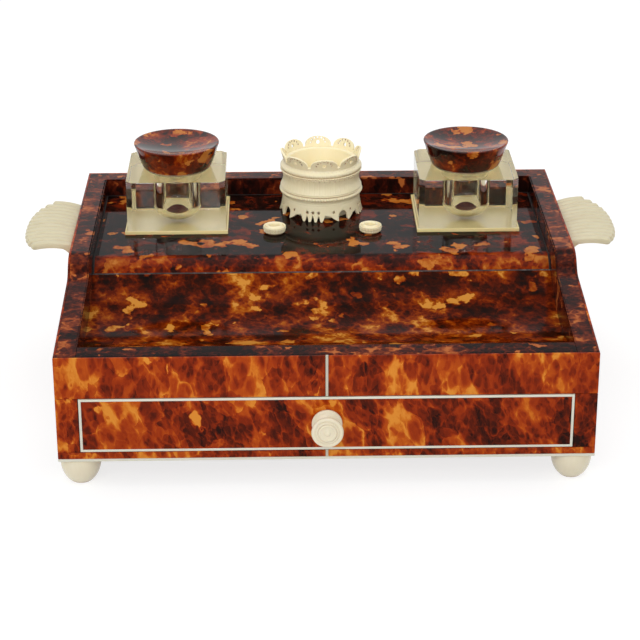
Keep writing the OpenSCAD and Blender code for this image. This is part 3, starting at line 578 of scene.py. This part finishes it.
def wall_capping(name, side, y0, y1, material, replaced):
    """Sheet on the top edge of a side wall, as thick as the veneer."""
    outline = edge_between(y0, y1) + edge_between(y0, y1, VENEER)[::-1]
    xs = sorted((side * INNER_X, side * CORE_X))
    return prism(name, outline, xs[0], xs[1], "carcase", material, replaced, 0.2)


def tray_arc(grow, steps=60):
    """Hollow of the pen tray from front to back, with its radius grown."""
    half = (NOSE_Y - LIP_D) / 2
    radius = (half ** 2 + TRAY_DEPTH ** 2) / (2 * TRAY_DEPTH)
    centre = (LIP_D + half, DECK_BOTTOM - TRAY_DEPTH + radius)
    reach = math.degrees(math.asin(min(1, half / (radius + grow))))
    return arc(centre, radius + grow, -90 - reach, -90 + reach, steps)


def carcase_pieces():
    for side, word in ((-1, "left"), (1, "right")):
        wall_sheet("outer_veneer_" + word, side, CORE_X, HALF_W, VENEER, BODY_D - VENEER, EDGING, SIDE_SHELL,
                   ["side_veneer_" + word])
        wall_sheet("inner_lining_" + word, side, INNER_X, INNER_X + VENEER, LIP_D, BACK_INNER_Y,
                   LINING_FOOT, LINING_SHELL, ["side_lining_" + word])
        wall_capping("ramp_" + word, side, VENEER, SHOULDER_Y, CAPPING_SHELL, ["ramp_capping_" + word])
        wall_capping("top_" + word, side, SHOULDER_Y, BODY_D - VENEER, CAPPING_SHELL, ["top_capping_" + word])
        paint(frame["nodes"]["side_core_" + word], SIDE_WOOD)
    tray = tray_arc(0) + tray_arc(VENEER)[::-1]
    prism("tray_sheet", tray, -INNER_X, INNER_X, "carcase", TRAY_SHELL, ["tray_veneer"], 0)
    for node, material, bevel in (
            ("back_veneer", RAIL_SHELL, EDGE_ROUND), ("top_rail_veneer", RAIL_SHELL, EDGE_ROUND),
            ("stile_veneer", STILE_SHELL, EDGE_ROUND), ("base_veneer", BASE_SHELL, EDGE_ROUND),
            ("back_lining", LINING_SHELL, 0.15), ("back_capping", CAPPING_SHELL, 0.2),
            ("lip_capping", LIP_SHELL, 0.5), ("base_edging", STRING_IVORY, 0.2),
            ("rail_stringing", OLD_STRING, 0.1)):
        dress(node, material, bevel)
    for node in ("base_board", "back_core", "front_rail", "pen_tray", "deck_board", "deck_bearers",
                 "dust_board", "drawer_stops"):
        paint(frame["nodes"][node], CARCASE_WOOD)
    paint(frame["nodes"]["base_screws"], BRASS)
    paint(frame["nodes"]["deck_veneer"], DECK_SHELL)


def drawer_pieces():
    for node, material, bevel in (
            ("drawer_veneer", DRAWER_SHELL, 0.12), ("drawer_stringing", STRING_IVORY, 0.2),
            ("drawer_side_left", DRAWER_WOOD, 0.4), ("drawer_side_right", DRAWER_WOOD, 0.4),
            ("drawer_back", BOTTOM_WOOD, 0.4)):
        dress(node, material, bevel)
    paint(frame["nodes"]["drawer_bottom"], BOTTOM_WOOD)
    paint(frame["nodes"]["drawer_front"], CARCASE_WOOD)


def glue_and_painted_shade():
    """Old glue under the rounded front of the deck, and dark strips of painted shade along its other edges.
    """
    glue_line = [(NOSE_Y - 0.5, DECK_BOTTOM - 0.35), (NOSE_Y + 0.9, DECK_BOTTOM - 0.35),
                 (NOSE_Y + 0.75, DECK_BOTTOM + 0.45), (NOSE_Y + 0.1, DECK_BOTTOM + 0.3)]
    prism("glue_line", glue_line, -INNER_X, INNER_X, "carcase", GLUE, bevel=0)
    # Dark strips along the deck's corners with the walls and back are painted shade.
    front = arc((NOSE_TOP_Y, DECK_Z - NOSE_R), NOSE_R + SHADE_STRIP_H, 150, 90, 10)
    for side, word in ((-1, "left"), (1, "right")):
        run = front + [(BACK_INNER_Y, DECK_Z + SHADE_STRIP_H), (BACK_INNER_Y, DECK_Z - SHADE_STRIP_H),
                       (NOSE_TOP_Y, DECK_Z - 1)]
        xs = sorted((side * INNER_X, side * (INNER_X - SHADE_STRIP_W)))
        prism("painted_shade_strip_" + word, run, xs[0], xs[1], "carcase", CORNER_SHADE_PAINT, bevel=0)
    back = [(BACK_INNER_Y - SHADE_STRIP_W, DECK_Z - SHADE_STRIP_H), (BACK_INNER_Y, DECK_Z - SHADE_STRIP_H),
            (BACK_INNER_Y, DECK_Z + 1.5 * SHADE_STRIP_H), (BACK_INNER_Y - SHADE_STRIP_W, DECK_Z + 0.2 * SHADE_STRIP_H)]
    prism("painted_shade_strip_back", back, -INNER_X, INNER_X, "carcase", CORNER_SHADE_PAINT, bevel=0)


# Turned and carved ivory

FOOT_H = 14
FOOT_R = 10
FOOT_FLAT_R = 5.2
FOOT_TOP_R = 9.4
FOOT_BELLY = 3
HANDLE_Y = 146.3
HANDLE_OUT = 27.3
HANDLE_RIBS = 13
RIB_PITCH = 4.75
RIB_FAN = math.radians(1.1)
RIB_DEPTH = 1.2
RIB_END = 1.3
RIB_ROUND = 0.96
RIB_STEPS = 14
HANDLE_ARCH_R = 40
HANDLE_T = 3.2
HANDLE_ARCH_U = 15
HANDLE_DROP = 1.4
# Seen from above the handle reaches out furthest at OUTLINE_Y, and ends this far in front and behind
OUTLINE_Y = 141
OUTLINE_FRONT = 52
OUTLINE_BACK = 53
ROOT_H = 10
ROOT_COVE_R = 9
ROOT_COVE_U = 7.4
ROOT_TAIL = 2.5
TIP_U = 1.6
PEN_R = 2.9
SPIGOT_R = 4.5
COLLAR_BEADS = 44
SKIRT_H = 8.6
SKIRT_R = 23
BAND_R = 21.2
BORE_R = 17.3
DRUM_H = 20.2
PETALS = 8
PETAL_H = 6.4
CREST_R = 22.4
PANELS = 4
PANEL_TURN = -13
PETAL_TURN = 3.5
SKIRT_T = 1.2
PETAL_T = 1.05
BEADS = 92
FLUTES = 46
PITS = 60


def feet():
    """Bun feet under the four corners."""
    low, high = math.acos(FOOT_FLAT_R / FOOT_R), math.acos(FOOT_TOP_R / FOOT_R)
    profile = [(0, -FOOT_H)]
    for i in range(17):
        a = low * (1 - i / 16)
        z = -FOOT_BELLY - (FOOT_H - FOOT_BELLY) * math.sin(a) / math.sin(low)
        profile.append((FOOT_R * math.cos(a), z))
    for i in range(1, 7):
        a = high * i / 6
        z = -FOOT_BELLY + FOOT_BELLY * math.sin(a) / math.sin(high)
        profile.append((FOOT_R * math.cos(a), z))
    profile.append((0, 0))
    for side, word in ((-1, "left"), (1, "right")):
        for y, end in ((FOOT_R, "front"), (BODY_D - FOOT_R, "back")):
            place = (side * (HALF_W - FOOT_R), y + FRONT_Y, UNDERSIDE_Z)
            lathe(f"foot_{end}_{word}_turned", profile, place, "carcase", IVORY_TURNED,
                  [f"foot_{end}_{word}"], 72)


def knob():
    """Ringed disc in front of a waist and a flange, turned on an axis that points to the front."""
    profile = [(2.5, -3), (2.5, 0), (7.2, 0), (7.45, 0.35), (7.4, 1.0), (7.0, 1.5), (6.3, 1.75), (6.2, 2.2),
               (5.7, 2.6), (4.7, 3.0), (4.0, 3.7), (3.6, 4.8), (3.55, 5.8), (3.9, 6.8), (4.8, 7.7),
               (6.2, 8.3), (7.1, 8.7), (7.6, 9.2), (7.75, 9.9), (7.65, 10.5), (7.3, 10.95), (6.9, 11.1),
               (6.3, 10.95), (5.95, 10.6), (5.6, 10.65), (5.35, 11.1), (5.0, 11.15), (4.7, 10.8),
               (4.45, 10.85), (4.2, 11.4), (3.8, 11.55), (3.45, 11.2), (3.2, 11.0), (1.9, 11.05),
               (1.5, 11.1), (1.3, 11.6), (0.9, 11.9), (0, 12)]
    low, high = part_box("drawer_knob")
    centre = (low + high) / 2 / MM
    piece = lathe("knob_turned", profile, (0, 0, 0), "drawer", IVORY_TURNED, ["drawer_knob"], sharp=70)
    turn = Matrix.Rotation(math.radians(90), 4, "X")
    piece.data.transform(Matrix.Translation(Vector((centre.x, FRONT_Y, centre.z)) * MM) @ turn)


def beads(count, height, span, low, profile, sink=0.0):
    """Relief of a row of beads round a turned piece, over the points of a profile near one height."""
    def relief(angle, row):
        off = (profile[row][1] - height) / (span / 2)
        if abs(off) >= 1:
            return 0
        return (low * abs(math.cos(count * angle / 2)) - sink) * math.sqrt(1 - off * off)
    return relief


def pen_collars():
    """Collars for two pens, each with rows of beads between its rings."""
    profile = [(PEN_R, -DECK_T), (SPIGOT_R, -DECK_T), (SPIGOT_R, 0.0), (4.75, 0.0), (5.1, 0.35), (5.3, 0.7)]
    profile += [(5.45, 0.95 + 0.15 * i) for i in range(7)]
    profile += [(5.7, 2.1 + 0.15 * i) for i in range(9)]
    profile += [(5.95, 3.5), (5.9, 3.85), (5.6, 4.05), (5.3, 3.9), (5.1, 3.55), (4.6, 3.35), (4.35, 3.6),
                (4.1, 4.2), (3.7, 4.5), (3.3, 4.45), (3.0, 4.1), (PEN_R, 3.5), (PEN_R, -DECK_T)]
    lower = beads(40, 1.4, 1.3, 0.42, profile)
    upper = beads(COLLAR_BEADS, 2.75, 1.5, 0.5, profile)
    rim = beads(COLLAR_BEADS, 3.95, 0.5, 0.15, profile)

    def relief(angle, row):
        return lower(angle, row) + upper(angle, row) + rim(angle, row)

    for word in ("left", "right"):
        low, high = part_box("pen_collar_" + word)
        centre = (low + high) / 2 / MM
        lathe(f"collar_{word}_turned", profile, (centre.x, centre.y, DECK_TOP), "carcase", IVORY_CARVED,
              ["pen_collar_" + word], 8 * COLLAR_BEADS, relief, 60)


def handle(side, word):
    """Fluted shell: one arched section after another, fanned out along the wall, with stepped ends.

    In a section u runs out from the wall and z up; each rib is a dome between two grooves.
    """
    arch_z = BODY_H - HANDLE_DROP - HANDLE_ARCH_R
    root_z = arch_z + math.sqrt(HANDLE_ARCH_R ** 2 - HANDLE_ARCH_U ** 2)
    foot_z = root_z - ROOT_H
    fan_r = RIB_PITCH / 2 / math.tan(RIB_FAN / 2)
    inner_r = HANDLE_ARCH_R - HANDLE_T
    verts = []
    size = 0
    total = HANDLE_RIBS * RIB_STEPS
    for step in range(total + 1):
        rib = (step / RIB_STEPS) - HANDLE_RIBS / 2
        centre = math.floor(rib + HANDLE_RIBS / 2 - 1e-9) + 0.5 - HANDLE_RIBS / 2
        centre = max(-(HANDLE_RIBS - 1) / 2, centre)
        off = min(1, abs(rib - centre) * 2)
        dome = 1 - math.sqrt(1 - RIB_ROUND * off * off)
        turn = RIB_FAN * rib
        away = HANDLE_Y + (fan_r + HANDLE_OUT) * math.sin(RIB_FAN * centre) - OUTLINE_Y
        away /= OUTLINE_BACK if away > 0 else OUTLINE_FRONT
        reach = HANDLE_OUT * (1 - abs(away) ** 3) - RIB_END * dome
        start = fan_r / math.cos(turn) - fan_r
        tip_z = arch_z + math.sqrt(HANDLE_ARCH_R ** 2 - (reach - HANDLE_ARCH_U) ** 2)
        section = []
        for i in range(25):
            u = start + (reach - 1.0 - start) * i / 24
            z = arch_z + math.sqrt(HANDLE_ARCH_R ** 2 - (u - HANDLE_ARCH_U) ** 2)
            section.append((u, z - RIB_DEPTH * dome))
        thick = HANDLE_T - RIB_DEPTH * dome
        middle = (reach - thick * 0.5, tip_z - RIB_DEPTH * dome - thick * 0.46)
        for angle in (65, 40, 15, -10, -35, -60):
            a = math.radians(angle)
            section.append((middle[0] + thick * 0.5 * math.cos(a), middle[1] + thick * 0.46 * math.sin(a)))
        cove = (ROOT_TAIL + ROOT_COVE_R, foot_z + 1)
        for i in range(13):
            u = reach - TIP_U - (reach - TIP_U - ROOT_COVE_U) * i / 12
            section.append((u, arch_z + math.sqrt(inner_r ** 2 - (u - HANDLE_ARCH_U) ** 2)))
        section += arc(cove, ROOT_COVE_R, 118, 176, 10)
        section += [(ROOT_TAIL * 0.75, foot_z), (ROOT_TAIL * 0.35, foot_z - 0.9), (start, foot_z - 1)]
        size = len(section)
        for u, z in section:
            u = max(u, start)
            x = HALF_W - fan_r + (fan_r + u) * math.cos(turn)
            y = HANDLE_Y + (fan_r + u) * math.sin(turn)
            verts.append((side * x, y + FRONT_Y, z + UNDERSIDE_Z))
    faces = []
    for step in range(total):
        for i in range(size):
            n = (i + 1) % size
            faces.append([step * size + i, step * size + n, (step + 1) * size + n, (step + 1) * size + i])
    faces += [list(range(size))[::-1], [total * size + i for i in range(size)]]
    replaced = ["handle_" + word] + (["handle_pins"] if side < 0 else [])
    piece = new_piece(f"handle_{word}_carved", verts, faces, "carcase", replaced)
    tidy_mesh(piece)
    shade(piece, 60)
    paint(piece, IVORY_HANDLE)


def flat_sheet(outline, holes):
    """Fills a plane outline with holes and gives its triangles, in the outline's own unit."""
    curve = bpy.data.curves.new("sheet", "CURVE")
    curve.dimensions = "2D"
    curve.fill_mode = "BOTH"
    for points in [outline] + holes:
        spline = curve.splines.new("POLY")
        spline.points.add(len(points) - 1)
        for point, (x, y) in zip(spline.points, points):
            point.co = (x, y, 0, 1)
        spline.use_cyclic_u = True
    holder = bpy.data.objects.new("sheet", curve)
    mesh = bpy.data.meshes.new_from_object(holder)
    work = bmesh.new()
    work.from_mesh(mesh)
    bpy.data.objects.remove(holder)
    bpy.data.curves.remove(curve)
    bpy.data.meshes.remove(mesh)
    return work


def pierced_ring(name, sector, count, turn, reference_r, radius_at, centre, material, replaced, thickness):
    """Repeats a pierced sheet round the pot: x is the way round at reference_r, y the height."""
    outline, holes = sector
    pitch = 2 * math.pi * reference_r / count
    work = flat_sheet(outline, holes)

    def split(place, normal):
        geometry = work.verts[:] + work.edges[:] + work.faces[:]
        bmesh.ops.bisect_plane(work, geom=geometry, dist=1e-5, plane_co=place, plane_no=normal)

    for k in range(-12, 13):
        split((k * pitch / 24, 0, 0), (1, 0, 0))
    top = max(v.co.y for v in work.verts)
    for k in range(1, 5):
        split((0, top * k / 5, 0), (0, 1, 0))
    verts, faces = [], []
    flat = [tuple(v.co) for v in work.verts]
    sheet_faces = [[v.index for v in f.verts] for f in work.faces]
    work.free()
    for k in range(count):
        base = len(verts)
        for x, y, _ in flat:
            angle = math.radians(turn - 90) + (x + k * pitch) / reference_r
            r = radius_at(y)
            verts.append((centre[0] + r * math.cos(angle), centre[1] + r * math.sin(angle), centre[2] + y))
        faces += [[base + i for i in f] for f in sheet_faces]
    piece = new_piece(name, verts, faces, "carcase", replaced)
    tidy_mesh(piece, 2e-5)
    solid = piece.modifiers.new("thickness", "SOLIDIFY")
    solid.thickness = thickness * MM
    solid.offset = -1
    bevel = piece.modifiers.new("edges", "BEVEL")
    bevel.width = 0.14 * MM
    bevel.segments = 2
    bevel.limit_method = "ANGLE"
    bevel.angle_limit = math.radians(55)
    apply_modifiers(piece)
    shade(piece, 45)
    return paint(piece, material)


def round_hole(x, y, r, points=14):
    return [(x + r * math.cos(2 * math.pi * i / points), y + r * math.sin(2 * math.pi * i / points))
            for i in range(points)]


def skirt_sector():
    """One panel of the skirt: four prongs between two horns, and half an arch at each end."""
    h = SKIRT_H
    half = math.pi / PANELS * SKIRT_R

    def at(degrees, shift=0.0):
        return math.radians(degrees) * SKIRT_R + shift

    outline = [(-half, h), (half, h)]
    outline += [(half - 2.9 * math.cos(math.radians(a)), 2.6 + 2.8 * math.sin(math.radians(a)))
                for a in (90, 70, 50, 30, 10)]
    outline += [(half - 2.95, 1.6), (half - 3.15, 0.0), (half - 3.5, 0.0), (half - 4.6, 0.55),
                (half - 6.0, 1.5), (half - 7.3, 2.6), (at(18.2), 3.5), (at(17.4), 3.5), (at(16.7), 2.4),
                (at(15.2), 1.1), (at(13.6), 0.1)]
    horn = outline[2:]
    for centre in (8.4, 0, -8.4):
        outline += [(at(centre, 1.15), 0.0), (at(centre, 0.85), 0.9), (at(centre, 0.3), 3.0),
                    (at(centre), 3.3), (at(centre, -0.3), 3.0), (at(centre, -0.85), 0.9),
                    (at(centre, -1.15), 0.0)]
    outline += [(-x, y) for x, y in horn][::-1]
    holes = [round_hole(at(a), 5.0, 0.85) for a in (-8.4, 0, 8.4)]
    holes += [round_hole(at(side * 30.5), 5.0, 0.75) for side in (-1, 1)]
    return outline, holes


def petal_sector():
    """One petal with a toothed rim, an eye and an arc of seven small holes."""
    half = math.pi * CREST_R / PETALS
    base = 0.9
    teeth = 19
    rim = []
    steps = teeth * 6
    for i in range(steps + 1):
        a = math.pi * i / steps
        tooth = 0.3 * abs(math.sin(teeth * a))
        rim.append((math.cos(a) * (half - 1.0 + tooth * 0.6),
                    base + 0.5 + math.sin(a) ** 0.85 * (PETAL_H - 1.8 + tooth)))
    outline = [(-half, -0.2), (half, -0.2), (half, base)] + rim + [(-half, base)]
    holes = [round_hole(0, 2.9, 1.1)]
    for k in range(7):
        a = math.radians(12 + 26 * k)
        holes.append(round_hole(4.5 * math.cos(a), 2.3 + 3.2 * math.sin(a), 0.52, 10))
    return outline, holes


def pot():
    """Floor with its spigot, pierced skirt, turned drum with beads and flutes, and crest of petals."""
    centre = (POT_X, POT_Y, DECK_TOP)
    profile = [(0, -DECK_T), (7, -DECK_T), (7, 0), (8, 0), (8, SKIRT_H - 2), (15, SKIRT_H - 2), (15, 0),
               (16.5, 0), (16.5, SKIRT_H - 2), (BAND_R - 0.7, SKIRT_H - 2), (BAND_R - 0.7, SKIRT_H),
               (0, SKIRT_H)]
    lathe("pot_floor", profile, centre, "carcase", IVORY_CARVED)
    pierced_ring("pot_skirt", skirt_sector(), PANELS, PANEL_TURN, SKIRT_R,
                 lambda y: SKIRT_R + (BAND_R - SKIRT_R) * (y / SKIRT_H) ** 0.7, centre, IVORY_CARVED,
                 ["pot_foot"], SKIRT_T)
    z0 = SKIRT_H
    outer = [(BAND_R, z0), (BAND_R + 0.1, z0 + 0.25), (BAND_R, z0 + 0.5), (BAND_R - 0.15, z0 + 0.9),
             (BAND_R, z0 + 1.6), (BAND_R + 0.35, z0 + 2.2)]
    outer += [(21.6 + 0.9 * math.sin(math.pi * i / 14), z0 + 2.5 + 2.6 * i / 14) for i in range(15)]
    outer += [(22.2, z0 + 5.3), (22.45, z0 + 5.5), (22.2, z0 + 5.75), (22.15, z0 + 5.95), (22.35, z0 + 6.15)]
    outer += [(22.35 - 1.5 * math.sin(math.radians(150 * i / 24)) + 0.1 * i / 24, z0 + 6.3 + 7.9 * i / 24)
              for i in range(25)]
    outer += [(21.9, z0 + 14.5), (21.9, z0 + 14.7)]
    outer += [(21.6 + 0.55 * math.sin(math.pi * i / 8), z0 + 14.9 + 1.2 * i / 8) for i in range(9)]
    outer += [(21.8, z0 + 16.3), (22.3, z0 + 16.7), (22.45, z0 + 17.3), (22.35, z0 + 17.9), (21.9, z0 + 18.4),
              (21.6, z0 + 18.65), (21.3, z0 + 18.9), (21.0, z0 + 19.2), (20.8, z0 + 19.5), (20.65, z0 + 19.9),
              (20.6, z0 + 20.2), (20.6, z0 + 20.5), (20.6, z0 + 20.9)]
    inner = [(BORE_R + 0.3, z0 + 20.9), (BORE_R, z0 + 20.5), (BORE_R, z0), (BAND_R, z0)]
    profile = outer + inner
    low_beads = beads(BEADS, z0 + 3.6, 2.0, 0.55, profile, 0.15)
    high_beads = beads(BEADS, z0 + 15.5, 1.2, 0.4, profile, 0.1)

    def pits(angle, height, level, shift):
        off = abs(height - level) / 0.4
        return -0.3 * max(0, 1 - off) * max(0, math.cos(PITS * angle + shift)) ** 3

    def relief(angle, row):
        height = profile[row][1] - z0
        cut = 0
        if row < len(outer) and height > 16.4:
            cut = (pits(angle, height, 17.3, 0) + pits(angle, height, 18.9, math.pi)
                   + pits(angle, height, 20.2, 0))
        if row < len(outer) and 6.3 < height < 14.3:
            depth = 0.16 + 0.5 * max(0, (height - 12.6) / 1.7)
            cut = -depth * max(0, math.cos(FLUTES * angle)) ** 6
        return cut + low_beads(angle, row) + high_beads(angle, row)

    lathe("pot_drum_carved", profile, centre, "carcase", IVORY_CARVED, ["pot_drum"], 8 * BEADS, relief, 60)
    top = (centre[0], centre[1], centre[2] + z0 + DRUM_H)
    pierced_ring("pot_petals", petal_sector(), PETALS, PETAL_TURN, CREST_R,
                 lambda y: BAND_R - 0.5 + (CREST_R - BAND_R + 0.5) * max(0, y) / PETAL_H, top, IVORY_CARVED,
                 ["pot_crest"], PETAL_T)


# Inkwells

LID_R = 23
LID_FOOT_R = 18.7
LID_H = 13.3
LID_DISH = 3.4
LID_RIM = 0.7
# The ground underside of the glass is sunk a little into its tray, so that the tray shows through it
GLASS_SEAT = 0.5
GLASS_SINK = 0.05
# The ink's hollow is sunk deeper than the solid's, as the photograph shows it
INK_FLOOR = 2.5
INK_BOWL_TOP = 10.3
INK_R = 13.2
INK_SINK = 1.3


def lids():
    """Dished lids, wider above than below."""
    rim_r = LID_R - LID_RIM
    dish_r = (rim_r ** 2 + LID_DISH ** 2) / (2 * LID_DISH)
    reach = math.degrees(math.asin(rim_r / dish_r))
    profile = [(0, 0), (LID_FOOT_R - 0.9, 0), (LID_FOOT_R - 0.3, 0.2), (LID_FOOT_R, 0.7)]
    for i in range(1, 15):
        t = i / 14
        profile.append((LID_FOOT_R + (LID_R - LID_FOOT_R) * t ** 0.92, 0.7 + (LID_H - 1.3) * t))
    profile += [(LID_R, LID_H - 0.3), (LID_R - 0.2, LID_H), (rim_r + 0.1, LID_H)]
    profile += arc((0, LID_H - LID_DISH + dish_r), dish_r, -90 + reach, -90, 24)[:-1]
    profile.append((0, LID_H - LID_DISH))
    for word in ("left", "right"):
        low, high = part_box("bottle_lid_" + word)
        centre = ((low.x + high.x) / 2 / MM, (low.y + high.y) / 2 / MM, low.z / MM)
        lathe(f"lid_{word}_turned", profile, centre, "lid_" + word, LID_SHELL, ["bottle_lid_" + word], 160,
              sharp=60)
        paint(frame["nodes"]["lid_plug_" + word], IVORY_TURNED)


def bottles():
    """Glass blocks on their ivory trays, with dried ink in the hollow."""
    for word in ("left", "right"):
        glass = dress("ink_bottle_" + word, GLASS, 0.3)
        floor = min(v.co.z for v in glass.data.vertices)
        xs, ys = ([v.co[i] for v in glass.data.vertices] for i in range(2))
        middle = [(min(values) + max(values)) / 2 for values in (xs, ys)]
        for vert in glass.data.vertices:
            height = (vert.co.z - floor) / MM
            off = math.hypot(vert.co.x - middle[0], vert.co.y - middle[1]) / MM
            if height < GLASS_SEAT:
                vert.co.z -= GLASS_SINK * MM
            elif height < INK_BOWL_TOP and off < INK_R:
                vert.co.z -= INK_SINK * (INK_BOWL_TOP - height) / (INK_BOWL_TOP - INK_FLOOR) * MM
        dress("well_tray_" + word, IVORY_PLATE, 0.25)
        low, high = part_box("ink_bottle_" + word)
        centre = ((low.x + high.x) / 2 / MM, (low.y + high.y) / 2 / MM, low.z / MM + INK_FLOOR - INK_SINK)
        profile = [(0, 0.05), (4, 0.55), (8, 2.05), (9.6, 3.1), (9.4, 3.4), (7, 2.4), (3, 1.5), (0, 1.3)]
        lathe(f"dried_ink_{word}", profile, centre, "bottle_" + word, INK, (), 48)


# Stage, light and camera

# Share and strength of the floor's own white, so that open floor is white and the shadow stays
FLOOR_SHARE = 0.575
FLOOR_GLOW = 1.3
ROOM_LIGHT = 0.56


def stage():
    """White floor, in metres, on which only the shadow shows."""
    mesh = bpy.data.meshes.new("floor")
    reach = 6.0
    mesh.from_pydata([(-reach, -reach, 0), (reach, -reach, 0), (reach, reach, 0), (-reach, reach, 0)], [],
                     [(0, 1, 2, 3)])
    floor = bpy.data.objects.new("floor", mesh)
    scene.collection.objects.link(floor)
    r = Recipe("white_floor")
    lit = r.node("BsdfDiffuse", Color=(0.9, 0.9, 0.9, 1))
    glow = r.node("Emission", Color=(1, 1, 1, 1), Strength=FLOOR_GLOW)
    path = r.node("LightPath")
    seen = r.math("MAXIMUM", path.outputs["Is Camera Ray"],
                  r.math("MAXIMUM", path.outputs["Is Glossy Ray"], path.outputs["Is Transmission Ray"]))
    share = r.times(seen, FLOOR_SHARE)
    blend = r.node("MixShader", Fac=share, i1=lit.outputs[0], i2=glow.outputs[0])
    r.tree.links.new(blend.outputs[0], r.output.inputs[0])
    floor.data.materials.append(r.material)


def world():
    """White behind the object and in what it mirrors or shows through, and a dimmer room as its light."""
    made = bpy.data.worlds.new("studio")
    scene.world = made
    made.use_nodes = True
    tree = made.node_tree
    tree.nodes.clear()
    path = tree.nodes.new("ShaderNodeLightPath")
    seen = path.outputs["Is Camera Ray"]
    for kind in ("Is Glossy Ray", "Is Transmission Ray"):
        either = tree.nodes.new("ShaderNodeMath")
        either.operation = "MAXIMUM"
        tree.links.new(seen, either.inputs[0])
        tree.links.new(path.outputs[kind], either.inputs[1])
        seen = either.outputs[0]
    mixed = tree.nodes.new("ShaderNodeMixShader")
    tree.links.new(seen, mixed.inputs[0])
    for place, strength in ((1, ROOM_LIGHT), (2, 1.0)):
        sky = tree.nodes.new("ShaderNodeBackground")
        sky.inputs["Color"].default_value = (1, 1, 1, 1)
        sky.inputs["Strength"].default_value = strength
        tree.links.new(sky.outputs[0], mixed.inputs[place])
    out = tree.nodes.new("ShaderNodeOutputWorld")
    tree.links.new(mixed.outputs[0], out.inputs[0])


def aimed(name, light, place, target):
    """Puts a light at a place and points it at a target, both in metres."""
    made = bpy.data.objects.new(name, light)
    made.location = place
    made.rotation_euler = (Vector(target) - Vector(place)).to_track_quat("-Z", "Y").to_euler()
    scene.collection.objects.link(made)
    return made


def lamp(name, place, target, size, power):
    """Rectangular lamp with its size in metres and its power in watts."""
    light = bpy.data.lights.new(name, "AREA")
    light.shape = "RECTANGLE"
    light.size, light.size_y = size
    light.energy = power
    aimed(name, light, place, target)


def deck_fill():
    """Soft light from the front on the pieces that stand on the deck."""
    light = bpy.data.lights.new("deck_fill", "SPOT")
    light.spot_size = math.radians(11.5)
    light.spot_blend = 1.0
    light.shadow_soft_size = 0.15
    light.energy = 27
    aimed("deck_fill", light, (-0.05, -1.1, 0.55), (0, 0.09, 0.1)).visible_glossy = False


def camera():
    """The photograph's view, fitted to the carcase's edges."""
    x, y, z = -21.04, -877.26, 449.66
    yaw, pitch, roll = (math.radians(a) for a in (-1.161, -23.215, 0.127))
    focal_px = 2030.57
    frame_px = 640
    turn = Matrix.Rotation(yaw, 3, "Z") @ Matrix.Rotation(pitch, 3, "X") @ Matrix.Rotation(roll, 3, "Y")
    right, forward, up = turn.col[0], turn.col[1], turn.col[2]
    data = bpy.data.cameras.new("camera")
    data.sensor_width = 36
    data.lens = focal_px / frame_px * data.sensor_width
    data.clip_end = 20
    made = bpy.data.objects.new("camera", data)
    place = Vector((x, y + FRONT_Y, z + UNDERSIDE_Z)) * MM
    made.matrix_world = Matrix.Translation(place) @ Matrix((right, up, -forward)).transposed().to_4x4()
    scene.collection.objects.link(made)
    scene.camera = made


carcase_pieces()
drawer_pieces()
glue_and_painted_shade()
feet()
knob()
pen_collars()
handle(-1, "left")
handle(1, "right")
pot()
lids()
bottles()
stage()
world()
lamp("softbox_top", (0.1, 0.1, 1.3), (0, 0, 0.05), (1.4, 1.0), 5)
lamp("softbox_front", (-0.5, -1.3, 0.9), (0, 0, 0.04), (1.0, 0.7), 5)
deck_fill()
camera()
scene.view_settings.view_transform = "Standard"
